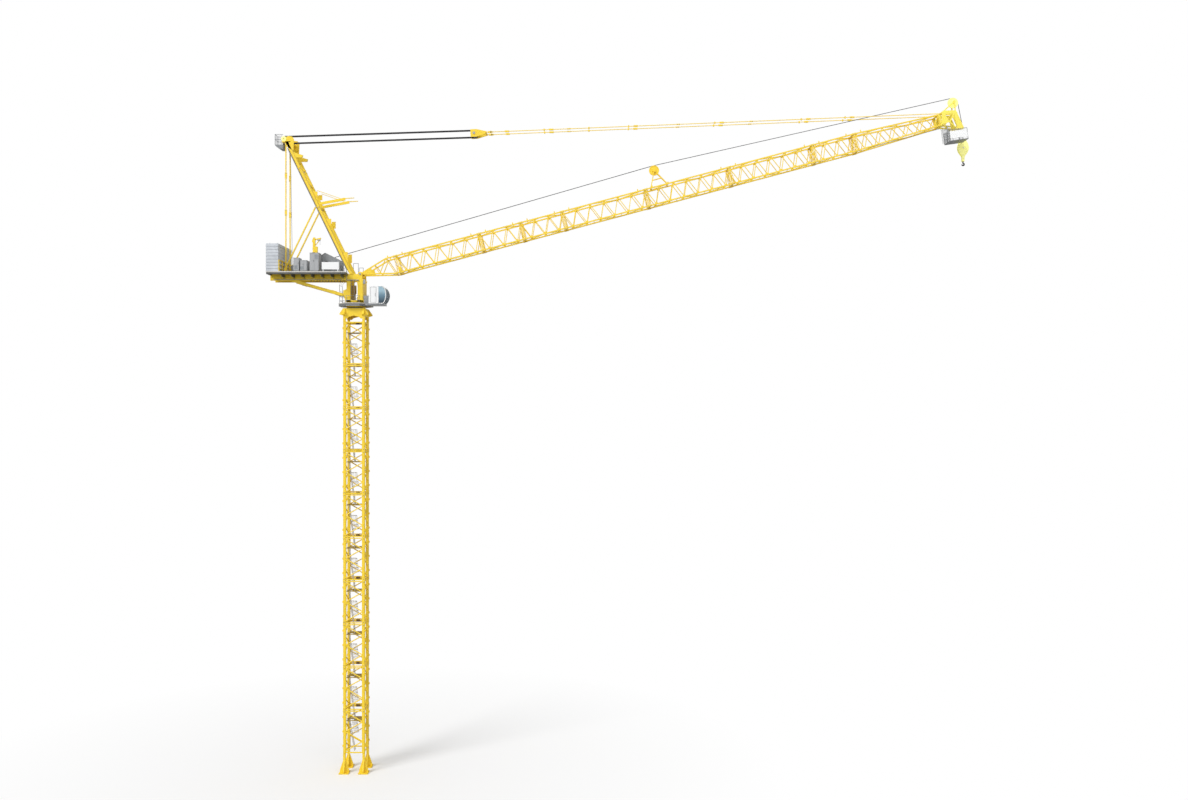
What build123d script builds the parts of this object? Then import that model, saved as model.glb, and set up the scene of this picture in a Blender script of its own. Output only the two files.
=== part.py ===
from build123d import *
import os
from math import acos, atan2, ceil, cos, hypot, radians, sin

# Tower crane with a luffing jib, at one tenth of its real size: lengths are millimetres, and 100 of them
# stand for a metre of the real crane. The origin is on the ground at the middle of the mast, +Z is up and
# the jib points along +X. The near side in the photograph is -Y.

# Round bars, drums and wheels are drawn with this many sides
sides = 12

# Mast: a square lattice of equal sections on four cast-in feet
mast_width = 250
chord = 27
foot_height = 230
section_height = 500
section_count = 10
lacing = 12
lacing_pitch = 250
first_lacing_node = 200
foot_plate = 112
foot_plate_thickness = 12
foot_plate_edge = 4
foot_gusset_height = 150
foot_gusset = 14
foot_gusset_edge = 25
ladder_width = 46
ladder_stile = 5
ladder_rung_pitch = 245
ladder_gap = 0.3
landing_thickness = 6
landing_gap = 6
landing_drop = 130
hatch = 60

# Mast head and slewing ring
head_leg = 30
head_height = 120
head_wall = 16
arch_radius = 117
arch_drop = 82
corner_flare = 42
flare_drop = 62
flare_edge = 12
ring_radius = 105
ring_bore = 78
ring_half = 12
ring_gap = 0.5
ring_lip = 6

# Slewing platform and tower
turntable_size = 200
turntable_height = 48
walkway_sides = 8
walkway_turn = 22.5
walkway_radius = 202
walkway_thickness = 6
walkway_fit = 0.3
rail_height = 110
rail = 5
rail_inset = 6
rail_opening = 242
post_inset = 10
post_turns = (67.5, 112.5, 157.5, 202.5, 247.5, 292.5)
cage_height = 239
cage_rail_height = 167
tower_top = 5725
rear_column_x = (-131, -37)
front_column_x = (-14, 117)
column_depth = 28
tower_half_width = 113
column_cut = 53
column_cut_drop = 42
tower_collar = 8
tower_collar_height = 40
top_beam_height = 50
gear_places = ((-84, 0), (45, -40), (45, 40))
gearbox_radius = 26
gearbox_height = 60
gear_motor_radius = 18
gear_motor_height = 90

# Cab
cab_x = (176, 372)
cab_bend_x = 322
glass_x = 285
glass = 2
cab_y = (-150, 40)
cab_floor = 5412
cab_height = 200
cab_base_height = 20
cab_wall = 5
cab_link = 12
cab_link_height = 90
guard = 5
guard_reach = 13
guard_set_back = 28
guard_levels = (-1, -0.6, -0.2, 0.2, 0.6, 1)
guard_lug = 10

# Jib pivot and jib
pivot_x = 68
pivot_z = 5777
pin_radius = 12
pin_clearance = 0.1
eye_radius = 26
eye_clearance = 6
side_clearance = 2
pivot_lug = 12
jib_angle = 14.9
jib_depth = 195
jib_width = 185
jib_chord = 15
jib_lacing = 8
jib_foot_length = 445
foot_top = (97.5, 330)
foot_bottom = (-97.5, 400)
foot_post = (53.6, 182)
foot_brace = (-53.6, 220)
foot_plate_corners = ((41, 140), (-34, 140))
jib_sections = (1000, 500, 500, 1000, 1000, 1000, 500)
bay = 500 / 3
tip_length = 1000
tip_depth = 120

# Counter-jib, deck and counterweight
deck_x = (-970, -70)
deck_half_width = 280
deck_thickness = 6
deck_z = 5775
deck_edge = 8
deck_edge_drop = 27
toe_board = 3
toe_board_height = 15
bracket_count = 8
bracket = 6
bracket_depth = 45
beam_height = 75
beam_width = 26
cross_beam_count = 6
cross_beam = 16
cross_beam_height = 40
strut_width = 32
lower_strut = ((-720, 5703), (-121, 5533))
slab_x = (-974, -829)
slab_height = 36.4
slab_count = 9
slab_gap = 0.3
weight_frame_gap = 6
weight_frame_bar = 8
weight_frame_height = 140
weight_frame_levels = (40, 90, 136)
weight_frame_posts = (-275, -140, 140, 275)

# Machinery on the deck
cabinet_y = (-262, -136)
cabinets = (((-684, -608), 176), ((-604, -500), 145), ((-494, -392), 229))
drum_x = -326
drum_z = 5905
drum_radius = 50
drum_width = 150
drum_flange = 14
drum_flange_width = 6
winch_skid = 12
winch_side = 10
winch_side_foot = 60
winch_side_head = 20
winch_side_up = 18
winch_motor_x = (-256, -196)
winch_motor_height = 90
luffing_drum_x = -700
luffing_drum_lift = 70
luffing_drum_radius = 42
luffing_drum_width = 120
luffing_side_foot = 50
luffing_side_height = 90
winch_guard_line = ((-400, 5781), (-168, 5781), (-168, 5940), (-338, 6022), (-400, 5985))
winch_guard_y = 96
winch_guard_plate = 6
winch_guard_sill = 60
board_x = (-333, -137)
board_lift = 28
board_height = 84
crane_x = (-453, -427)
crane_y = (-213, -187)
crane_height = 165
crane_box_x = (-427, -400)
crane_box_height = 70
crane_arm = 14

# A-frame behind the pivot
frame_foot_x = -24
frame_head_x = -790
frame_head_z = 7330
leg_y = 110
leg_width = 34
leg_depth = 24
leg_foot_drop = 20
leg_cross_heights = (6560, 6820, 7100)
leg_cross = 16
step_plates = ((6700, 60), (6375, 80), (5980, 100))
step_plate_length = 46
step_plate_reach = 20
step_plate = 6
leg_ladder_back = 14
leg_ladder_heights = (5830, 7240)
leg_ladder_width = 30
leg_ladder_stile = 6
leg_ladder_rung = 4
leg_ladder_rungs = 12
leg_ladder_brackets = (5900, 6350, 6800, 7200)
leg_ladder_bracket = 5
back_strut_line = ((-448, 6549), (-792, 5845))
back_strut = 14
back_strut_foot = 36
back_strut_depth = 16
head_wedge = ((-710, 7185), (-592, 7150), (-600, 7122), (-690, 7122))
backstop = 30
backstop_line = ((-430, 6585), (-104, 6645))
backstop_prong = 8
prong_line = ((-110, 6651), (-2, 6657))
stay_rod = 5
stay_line = ((-520, 6774), (-150, 6648))
stay_end = -430
backstop_depth = 12
backstop_back = 340
tie_x = -796
tie_y = 88
tie_width = 13
tie_depth = 8
tie_joints = (6920, 6490, 5811)
tie_joint_width = 22
tie_joint_height = 60
head_plate_z = 7300
head_plate_x = (-835, -735)
head_plate_thickness = 10
head_slot_x = (-842, -748)
head_cheek = 8
head_cheek_gap = 12
head_cheek_line = ((-835, 7310), (-740, 7310), (-740, 7330), (-778, 7373), (-830, 7373))
basket_x = (-930, -850)
basket_y = 62
basket_floor = (7262, 7270)
basket_plate_x = (-850, -835)
basket_top = 7385
basket_bar = 4
basket_levels = (7330, 7383)
head_sheave_x = -808
head_sheave_z = 7351
head_sheave_radius = 38

# Ropes, tackle and hook
rope = 4
block_x = 1381
block_z = 7423
fall_spread = 80
fall_lay = 68
lead_rope_x = -744
lead_rope_drop = 45
fall_count = 5
pendant_spread = 128
pendant_pin = 9
pendant_eye = 16
pendant_bar = 7
pendant_lap = 20
pendant_joints = (0.01, 0.18, 0.42, 0.58, 0.8)
pendant_eye_reach = 69
pendant_eye_up = 67
tail_along = 150
tail_half = 12
tail_pin = 9
block_rear = 40
block_front = 30
block_half_height = 44
pendant_depth = 8
sheave_width = 16
rope_gap = 0.3
rim_over_rope = 1
rope_side_gap = 0.5
axle = 10
nose_axle = 6
mid_sheave_along = 3609
mid_sheave_up = 302
mid_sheave_radius = 54
stand_gap = 8
stand_feet = (-88, 110)
stand_foot = 12
stand_foot_width = 14
stand_bar = 10
stand_brace = 6
stand_brace_lift = 90
stand_brace_reach = (-48, 60)
stand_boss = 16
stand_plate = 8
top_sheave_reach = 238
top_sheave_up = 167
top_sheave_radius = 55
nose_reach = 255
nose_up = -150
nose_radius = 18
rope_steps = 12
head_frame_y = 54
half_head_bar = 6
head_side = 8
head_bar = 18
head_beam = 26
head_post = 12
head_eye = 17
head_rear_reach = 81
head_rear_up = 88
head_front_reach = 221
head_front_up = 54
head_inner_reach = 50
head_inner_up = -54
fall_length = 125
block_outline = ((0, 16), (28, 41), (60, 57), (98, 64), (138, 56), (171, 36), (199, 15), (258, 13))
cheek_plate = 7
block_half = 19
block_wheel = 48
block_wheel_depth = 98
hook_neck = 6
hook_turns = range(90, -196, -26)
hook_radius = 14
hook_thickness = 9
platform_y = (-235, -35)
platform_back = 207
platform_back_drop = 197
platform_front = 7
platform_front_drop = 166
platform_floor = 8
platform_rail = 124
platform_lean = -0.12
hanger_shares = (0.12, 0.8)
tip_board_shares = (0.01, 0.93)
tip_board_lift = 68
tip_board_height = 86
tip_board_thickness = 2
shank_length = 14

jib_dir = Vector(cos(radians(jib_angle)), 0, sin(radians(jib_angle)))
jib_up = Vector(-sin(radians(jib_angle)), 0, cos(radians(jib_angle)))
mast_top = foot_height + section_count * section_height
chord_centre = (mast_width - chord) / 2
chord_inside = mast_width / 2 - chord
jib_length = jib_foot_length + sum(jib_sections) + tip_length
pendant_eye_along = jib_length + pendant_eye_reach
top_sheave_along = jib_length + top_sheave_reach
nose_along = jib_length + nose_reach
os.makedirs("parts", exist_ok=True)


def save(piece, name):
    """Labels a finished piece and writes it under its own name."""
    piece.part.label = name
    export_step(piece.part, f"parts/{name}.step")


def side_plane(y):
    """The upright plane at y, seen from the near side: X to the right, Z up."""
    return Plane(origin=(0, y, 0), x_dir=(1, 0, 0), z_dir=(0, -1, 0))


def cross_plane(x):
    """The upright plane at x, seen from the front: Y to the right, Z up."""
    return Plane(origin=(x, 0, 0), x_dir=(0, 1, 0), z_dir=(1, 0, 0))


def bars(width, *ends, mode=Mode.ADD):
    """Straight bars of one width in the open sketch, one for each pair of end points."""
    for start, end in ends:
        trace(Edge.make_line(start, end), line_width=width, mode=mode)


def round_bar(radius, mode=Mode.ADD):
    """The section of a round bar or wheel in the open sketch, or the space round one."""
    RegularPolygon(radius, sides, mode=mode)


def round_hole(radius):
    """A round hole in the open sketch that a bar of nearly this radius turns in."""
    RegularPolygon(radius, sides, major_radius=False, mode=Mode.SUBTRACT)


def box(x, y, z, mode=Mode.ADD):
    """A block in the open part between two limits on each axis."""
    centre = ((x[0] + x[1]) / 2, (y[0] + y[1]) / 2, (z[0] + z[1]) / 2)
    with Locations(centre):
        Box(abs(x[1] - x[0]), abs(y[1] - y[0]), z[1] - z[0], mode=mode)


def zigzag(width, start, end, low, high, pitch, first):
    """Lacing in the open sketch between two upright lines, as one zigzag over a height."""
    half = pitch / 2
    steps = ceil((high - first) / half) + 1
    points = [((start if step % 2 == 0 else end), first + step * half) for step in range(steps)]
    trace(Wire.make_polygon(points, close=False), line_width=width)
    with Locations(((start + end) / 2, (low + high) / 2)):
        Rectangle(abs(end - start), high - low, mode=Mode.INTERSECT)


# Feet: a base plate and crossed gussets that flare out under each chord
foot_centres = [(x, y) for x in (-chord_centre, chord_centre) for y in (-chord_centre, chord_centre)]
with BuildPart() as mast_feet:
    with BuildSketch():
        with Locations(*foot_centres):
            Rectangle(foot_plate, foot_plate)
    extrude(amount=foot_plate_thickness)
    with BuildSketch():
        with Locations(*foot_centres):
            Rectangle(chord, chord)
    extrude(amount=foot_height)
    half_gusset = foot_plate / 2 - foot_plate_edge
    for at in (-chord_centre, chord_centre):
        for plane in (side_plane(at), cross_plane(at)):
            with BuildSketch(plane):
                with Locations((-chord_centre, 0), (chord_centre, 0)):
                    Polygon(
                        (-half_gusset, foot_plate_thickness),
                        (half_gusset, foot_plate_thickness),
                        (half_gusset, foot_plate_thickness + foot_gusset_edge),
                        (chord / 2, foot_gusset_height),
                        (-chord / 2, foot_gusset_height),
                        (-half_gusset, foot_plate_thickness + foot_gusset_edge),
                        align=None,
                    )
            extrude(amount=foot_gusset / 2, both=True)
save(mast_feet, "mast_feet")

# Mast sides: the near and far sides carry the chords, the other two fit between them
joint_heights = [foot_height + section_height * count for count in range(section_count + 1)]
inner_heights = joint_heights[1:-1]
landing_heights = [height - landing_drop for height in inner_heights]


def mast_lacing(plane):
    """Zigzag bars and a cross bar at each landing, between the chords of one side."""
    with BuildSketch(plane) as lattice:
        zigzag(lacing, -chord_inside, chord_inside, foot_height, mast_top, lacing_pitch, first_lacing_node)
        ends = (foot_height + lacing / 2, mast_top - lacing / 2)
        with Locations(*[(0, height) for height in (*landing_heights, *ends)]):
            Rectangle(2 * chord_inside, lacing)
    extrude(lattice.sketch, amount=lacing / 2, both=True)


for name, side in (("mast_front_side", -1), ("mast_back_side", 1)):
    with BuildPart() as mast_side:
        mast_lacing(side_plane(side * chord_centre))
        with BuildSketch(Plane.XY.offset(foot_height)):
            with Locations((-chord_centre, side * chord_centre), (chord_centre, side * chord_centre)):
                Rectangle(chord, chord)
        extrude(amount=mast_top - foot_height)
    save(mast_side, name)

for name, side in (("mast_left_side", -1), ("mast_right_side", 1)):
    with BuildPart() as mast_side:
        mast_lacing(cross_plane(side * chord_centre))
    save(mast_side, name)

# Landings: a plate with a hatch below each section joint, resting clear of the four sides
landing_half = chord_inside - landing_gap
with BuildPart() as mast_landings:
    for height in landing_heights:
        with BuildSketch(Plane.XY.offset(height - landing_thickness)):
            Rectangle(2 * landing_half, 2 * landing_half)
            with Locations((-landing_half / 2, -landing_half / 2)):
                Rectangle(hatch, hatch, mode=Mode.SUBTRACT)
        extrude(amount=landing_thickness)
    lug_length = chord_centre - lacing / 2 - landing_half
    with BuildSketch(side_plane(0)):
        for side in (-1, 1):
            lug_x = side * (landing_half + lug_length / 2)
            with Locations(*[(lug_x, height - landing_thickness / 2) for height in landing_heights]):
                Rectangle(lug_length, landing_thickness)
    extrude(amount=lacing, both=True)
save(mast_landings, "mast_landings")

# Ladders: one flight a section, from a landing's hatch to the plate above
with BuildPart() as mast_ladders:
    ladder_x = -landing_half / 2
    ladder_y = -landing_half / 2 - hatch / 2 + ladder_stile / 2
    ladder_levels = (foot_height, *landing_heights, mast_top)
    for low, high in zip(ladder_levels[:-1], ladder_levels[1:]):
        seat = (landing_thickness + ladder_gap) / 2
        foot = low - landing_thickness + seat if low in landing_heights else low + lacing
        head = high - seat if high in landing_heights else high - lacing
        rungs = int((head - foot) // ladder_rung_pitch)
        with BuildSketch(side_plane(ladder_y)):
            for side in (-1, 1):
                with Locations((ladder_x + side * (ladder_width - ladder_stile) / 2, (foot + head) / 2)):
                    Rectangle(ladder_stile, head - foot)
            with Locations(*[(ladder_x, foot + ladder_rung_pitch * (step + 0.5)) for step in range(rungs)]):
                Rectangle(ladder_width, ladder_stile)
        extrude(amount=ladder_stile / 2, both=True)
save(mast_ladders, "mast_ladders")

# Mast head: four short legs with flared corners under a square box with an arch in each wall
head_z = mast_top + head_leg
ring_z = head_z + head_height
with BuildPart() as mast_head:
    with BuildSketch(Plane.XY.offset(mast_top)):
        with GridLocations(2 * chord_centre, 2 * chord_centre, 2, 2):
            Rectangle(chord, chord)
    extrude(amount=head_leg)
    with BuildSketch(Plane.XY.offset(head_z)):
        Rectangle(mast_width, mast_width)
        Rectangle(mast_width - 2 * head_wall, mast_width - 2 * head_wall, mode=Mode.SUBTRACT)
    extrude(amount=head_height)
    with BuildSketch(Plane.XY.offset(ring_z - head_wall)):
        Rectangle(mast_width - head_wall, mast_width - head_wall)
        round_hole(ring_bore)
    extrude(amount=head_wall)
    for plane in (Plane.XZ, Plane.YZ):
        with BuildSketch(plane):
            with Locations((0, head_z - arch_drop)):
                round_bar(arch_radius)
            with Locations((0, head_z + head_height / 2)):
                Rectangle(mast_width, head_height, mode=Mode.INTERSECT)
        extrude(amount=mast_width, both=True, mode=Mode.SUBTRACT)
    for at in (-chord_centre, chord_centre):
        for plane in (side_plane(at), cross_plane(at)):
            with BuildSketch(plane):
                for side in (-1, 1):
                    edge = side * mast_width / 2
                    tip = side * (mast_width / 2 + corner_flare)
                    Polygon(
                        (edge, ring_z),
                        (tip, ring_z - flare_drop),
                        (tip, ring_z - flare_drop - flare_edge),
                        (edge, ring_z - flare_drop - 2 * flare_edge),
                        align=None,
                    )
            extrude(amount=lacing, both=True)
save(mast_head, "mast_head")

# Slewing ring: the lower race on the mast head, the upper one turns with the turntable
with BuildPart() as slewing_ring:
    with BuildSketch(Plane.XY.offset(ring_z)):
        round_bar(ring_radius)
        round_hole(ring_bore)
    extrude(amount=ring_half)
save(slewing_ring, "slewing_ring")

turntable_z = ring_z + ring_half + ring_gap
platform_z = turntable_z + ring_half
with BuildPart() as turntable:
    with BuildSketch(Plane.XY.offset(turntable_z)):
        round_bar(ring_radius + ring_lip)
        round_hole(ring_bore)
    extrude(amount=ring_half)
    with BuildSketch(Plane.XY.offset(platform_z)):
        Rectangle(turntable_size, turntable_size)
        round_hole(ring_bore)
    extrude(amount=turntable_height)
save(turntable, "turntable")

# Walkway: an eight-sided grating round the turntable, with a rail on posts along its outer edge
walkway_hole = turntable_size + 2 * walkway_fit
tower_z = platform_z + turntable_height
with BuildPart() as slewing_walkway:
    with BuildSketch(Plane.XY.offset(platform_z)):
        RegularPolygon(walkway_radius, walkway_sides, rotation=walkway_turn)
        Rectangle(walkway_hole, walkway_hole, mode=Mode.SUBTRACT)
    extrude(amount=walkway_thickness)
save(slewing_walkway, "slewing_walkway")

with BuildPart() as walkway_rails:
    rail_base = platform_z + walkway_thickness
    with BuildSketch(Plane.XY.offset(rail_base)):
        for turn in post_turns:
            post_radius = walkway_radius - post_inset
            with Locations((post_radius * cos(radians(turn)), post_radius * sin(radians(turn)))):
                Rectangle(rail, rail)
    extrude(amount=rail_height)
    for level in (rail_height / 2, rail_height - rail):
        with BuildSketch(Plane.XY.offset(rail_base + level)):
            rail_radius = walkway_radius - rail_inset
            RegularPolygon(rail_radius, walkway_sides, rotation=walkway_turn)
            RegularPolygon(rail_radius - rail, walkway_sides, rotation=walkway_turn, mode=Mode.SUBTRACT)
            with Locations((walkway_radius, 0)):
                Rectangle(rail_opening, 2 * walkway_radius, mode=Mode.SUBTRACT)
        extrude(amount=rail)
    cage_x = -(walkway_radius - post_inset) * cos(radians(walkway_turn))
    cage_y = (walkway_radius - post_inset) * sin(radians(walkway_turn))
    cage_post = (cage_x - rail / 2, cage_x + rail / 2)
    for side in (-1, 1):
        limits = (side * cage_y - rail / 2, side * cage_y + rail / 2)
        box(cage_post, limits, (rail_base, rail_base + cage_height))
    for level in (cage_rail_height, cage_height - rail):
        box(cage_post, (-cage_y, cage_y), (rail_base + level, rail_base + level + rail))
save(walkway_rails, "walkway_rails")

# Slewing tower: rear and front box columns on each side, a beam over them and the pivot lugs of the jib
lug_inside = jib_width / 2 + jib_chord / 2 + side_clearance
lug_outside = lug_inside + pivot_lug
with BuildPart() as slewing_tower:
    for side in (-1, 1):
        with BuildSketch(side_plane(side * (tower_half_width - column_depth / 2))):
            with Locations(((rear_column_x[0] + rear_column_x[1]) / 2, (tower_z + tower_top) / 2)):
                Rectangle(rear_column_x[1] - rear_column_x[0], tower_top - tower_z)
            Polygon(
                (front_column_x[0], tower_z),
                (front_column_x[1], tower_z),
                (front_column_x[1], tower_top - column_cut - column_cut_drop),
                (front_column_x[1] - column_cut, tower_top),
                (front_column_x[0], tower_top),
                align=None,
            )
            beam_middle = (rear_column_x[0] + front_column_x[1] - column_cut) / 2
            with Locations((beam_middle, tower_top + top_beam_height / 2)):
                Rectangle(front_column_x[1] - column_cut - rear_column_x[0], top_beam_height)
        extrude(amount=column_depth / 2, both=True)
        with BuildSketch(side_plane(side * (lug_inside + lug_outside) / 2)):
            with Locations((pivot_x, pivot_z)):
                round_bar(eye_radius)
            Polygon(
                (pivot_x - eye_radius, pivot_z),
                (pivot_x + eye_radius, pivot_z),
                (front_column_x[1], tower_top - column_cut),
                (front_column_x[0], tower_top - column_cut),
                align=None,
            )
        extrude(amount=(lug_outside - lug_inside) / 2, both=True)
    collar_y = (-tower_half_width, tower_half_width)
    low_collar = (tower_z, tower_z + tower_collar_height)
    high_collar = (tower_top - tower_collar_height, tower_top)
    for start in (rear_column_x[0], rear_column_x[1] - tower_collar):
        box((start, start + tower_collar), collar_y, low_collar)
        box((start, start + tower_collar), collar_y, high_collar)
    box((front_column_x[0], front_column_x[0] + tower_collar), collar_y, high_collar)
    box((front_column_x[1] - tower_collar, front_column_x[1]), collar_y, low_collar)
    with BuildSketch(side_plane(0)):
        with Locations((pivot_x, pivot_z)):
            round_bar(eye_radius + eye_clearance)
    extrude(amount=lug_inside, both=True, mode=Mode.SUBTRACT)
    pin_inside = lug_inside - jib_chord - 2 * side_clearance
    for side in (-1, 1):
        with BuildSketch(side_plane(side * (pin_inside + lug_inside) / 2)):
            with Locations((pivot_x, pivot_z)):
                round_bar(pin_radius)
        extrude(amount=(lug_outside - pin_inside) / 2, both=True)
save(slewing_tower, "slewing_tower")

# Slewing machinery between the columns: three upright motors on their gearboxes
with BuildPart() as slewing_gear:
    with BuildSketch(Plane.XY.offset(tower_z)):
        with Locations(*gear_places):
            round_bar(gearbox_radius)
    extrude(amount=gearbox_height)
    with BuildSketch(Plane.XY.offset(tower_z + gearbox_height)):
        with Locations(*gear_places):
            round_bar(gear_motor_radius)
    extrude(amount=gear_motor_height)
save(slewing_gear, "slewing_gear")

# Cab: a shell open at the front, its bent glass, a base frame fixed to the tower and a guard in front
cab_deck = cab_floor + cab_base_height
cab_top = cab_deck + cab_height
cab_middle = (cab_y[0] + cab_y[1]) / 2
cab_half = (cab_y[1] - cab_y[0]) / 2
cab_link_y = cab_half - cab_base_height
guard_back = cab_x[1] - guard_set_back
with BuildPart() as cab_base:
    base_y = (cab_y[0] + cab_base_height, cab_y[1] - cab_base_height)
    box((front_column_x[1], guard_back + guard_lug), base_y, (cab_floor, cab_deck))
    for y in (cab_middle - cab_link_y, cab_middle):
        box((front_column_x[1], cab_x[0]), (y, y + cab_link), (cab_deck, cab_deck + cab_link_height))
save(cab_base, "cab_base")

with BuildPart() as cab_shell:
    box((cab_x[0], glass_x), cab_y, (cab_deck, cab_top))
    inside_y = (cab_y[0] + cab_wall, cab_y[1] - cab_wall)
    box((cab_x[0] + cab_wall, glass_x), inside_y, (cab_deck + cab_wall, cab_top - cab_wall), Mode.SUBTRACT)
save(cab_shell, "cab_shell")

cab_half_height = cab_height / 2
cab_level = cab_deck + cab_half_height
with BuildPart() as cab_glass:
    for inset, mode in ((0, Mode.ADD), (glass, Mode.SUBTRACT)):
        high = cab_top - inset
        low = cab_deck + inset
        with BuildSketch(side_plane(cab_middle)):
            with BuildLine():
                Polyline((cab_bend_x, high), (glass_x, high), (glass_x, low), (cab_bend_x, low))
                ThreePointArc((cab_bend_x, low), (cab_x[1] - inset, cab_level), (cab_bend_x, high))
            make_face()
        extrude(amount=cab_half - inset, both=True, mode=mode)
save(cab_glass, "cab_glass")

# Guard: bowed bars in front of the glass, joined by level bars and held on the cab's base
with BuildPart() as cab_guard:
    guard_half = cab_half_height - guard
    guard_bow = guard_set_back + guard_reach
    guard_points = [
        (guard_back + guard_bow * (1 - level**2), cab_level + level * guard_half) for level in guard_levels
    ]
    for y in (cab_y[0] + guard, cab_middle, cab_y[1] - guard):
        with BuildSketch(side_plane(y)):
            trace(Wire.make_polygon(guard_points, close=False), line_width=guard)
        extrude(amount=guard / 2, both=True)
    half_guard = guard / 2
    guard_y = (cab_y[0] + guard, cab_y[1] - guard)
    for x, z in guard_points:
        box((x - half_guard, x + half_guard), guard_y, (z - half_guard, z + half_guard))
    for side in (-1, 1):
        lug_y = cab_middle + side * cab_link_y / 2
        lug_limits = (lug_y - guard_lug / 2, lug_y + guard_lug / 2)
        lug_x = (guard_back - guard_lug / 2, guard_back + guard_lug / 2)
        box(lug_x, lug_limits, (cab_deck, cab_level - guard_half))
save(cab_guard, "cab_guard")

# Counter-jib: two main beams from the tower's rear columns, cross beams between and a strut under each
main_y = tower_half_width - column_depth / 2
beam_outside = main_y + beam_width / 2
beam_low = deck_z - beam_height
with BuildPart() as counter_jib_beams:
    for side in (-1, 1):
        limits = (side * main_y - beam_width / 2, side * main_y + beam_width / 2)
        box((deck_x[0], rear_column_x[0]), limits, (beam_low, deck_z))
    beam_step = (rear_column_x[0] - deck_x[0] - 2 * cross_beam) / (cross_beam_count - 1)
    for count in range(cross_beam_count):
        middle = deck_x[0] + cross_beam + count * beam_step
        limits = (middle - cross_beam / 2, middle + cross_beam / 2)
        box(limits, (-main_y, main_y), (deck_z - cross_beam_height, deck_z))
    for side in (-1, 1):
        with BuildSketch(side_plane(side * main_y)):
            bars(strut_width, lower_strut)
            strut_space = beam_low - tower_z
            with Locations(((deck_x[0] + rear_column_x[0]) / 2, beam_low - strut_space / 2)):
                Rectangle(rear_column_x[0] - deck_x[0], strut_space, mode=Mode.INTERSECT)
        extrude(amount=beam_width / 2, both=True)
save(counter_jib_beams, "counter_jib_beams")

# Deck: a plate with an edge channel and a toe board along each side, on brackets outside the main beams
with BuildPart() as counter_jib_deck:
    box(deck_x, (-deck_half_width, deck_half_width), (deck_z, deck_z + deck_thickness))
    bracket_step = (rear_column_x[0] - deck_x[0] - 2 * bracket) / (bracket_count - 1)
    edge_low = deck_z - deck_edge_drop
    for side in (-1, 1):
        edge = side * deck_half_width
        box(deck_x, (edge, edge - side * deck_edge), (edge_low, deck_z))
        toe_top = deck_z + deck_thickness + toe_board_height
        toe_x = (slab_x[1] + beam_width, deck_x[1])
        box(toe_x, (edge, edge - side * toe_board), (deck_z, toe_top))
    for count in range(bracket_count):
        with BuildSketch(cross_plane(deck_x[0] + bracket + count * bracket_step)):
            for side in (-1, 1):
                Polygon(
                    (side * beam_outside, deck_z),
                    (side * deck_half_width, deck_z),
                    (side * deck_half_width, edge_low),
                    (side * beam_outside, deck_z - bracket_depth),
                    align=None,
                )
        extrude(amount=bracket / 2, both=True)
save(counter_jib_deck, "counter_jib_deck")

deck_top = deck_z + deck_thickness

# Counterweight: courses of concrete slabs in two stacks
with BuildPart() as counterweights:
    slab_half = deck_half_width / 2 - slab_gap
    for count in range(slab_count):
        with BuildSketch(Plane.XY.offset(deck_top + count * slab_height)):
            with Locations((sum(slab_x) / 2, -deck_half_width / 2), (sum(slab_x) / 2, deck_half_width / 2)):
                Rectangle(slab_x[1] - slab_x[0], 2 * slab_half)
        extrude(amount=slab_height - slab_gap)
save(counterweights, "counterweights")

# Frame in front of the slabs: posts on the deck with three rails across
with BuildPart() as counterweight_frame:
    half_bar = weight_frame_bar / 2
    frame_middle = slab_x[1] + weight_frame_gap
    frame_x = (frame_middle - half_bar, frame_middle + half_bar)
    for y in weight_frame_posts:
        box(frame_x, (y - half_bar, y + half_bar), (deck_top, deck_top + weight_frame_height))
    for level in weight_frame_levels:
        rail_z = deck_top + level
        rail_y = (weight_frame_posts[0] - half_bar, weight_frame_posts[-1] + half_bar)
        box(frame_x, rail_y, (rail_z - half_bar, rail_z + half_bar))
save(counterweight_frame, "counterweight_frame")

# Cabinets in a row along the near edge of the deck
with BuildPart() as machine_cabinets:
    for cabinet_x, height in cabinets:
        box(cabinet_x, cabinet_y, (deck_top, deck_top + height))
save(machine_cabinets, "machine_cabinets")

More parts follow.
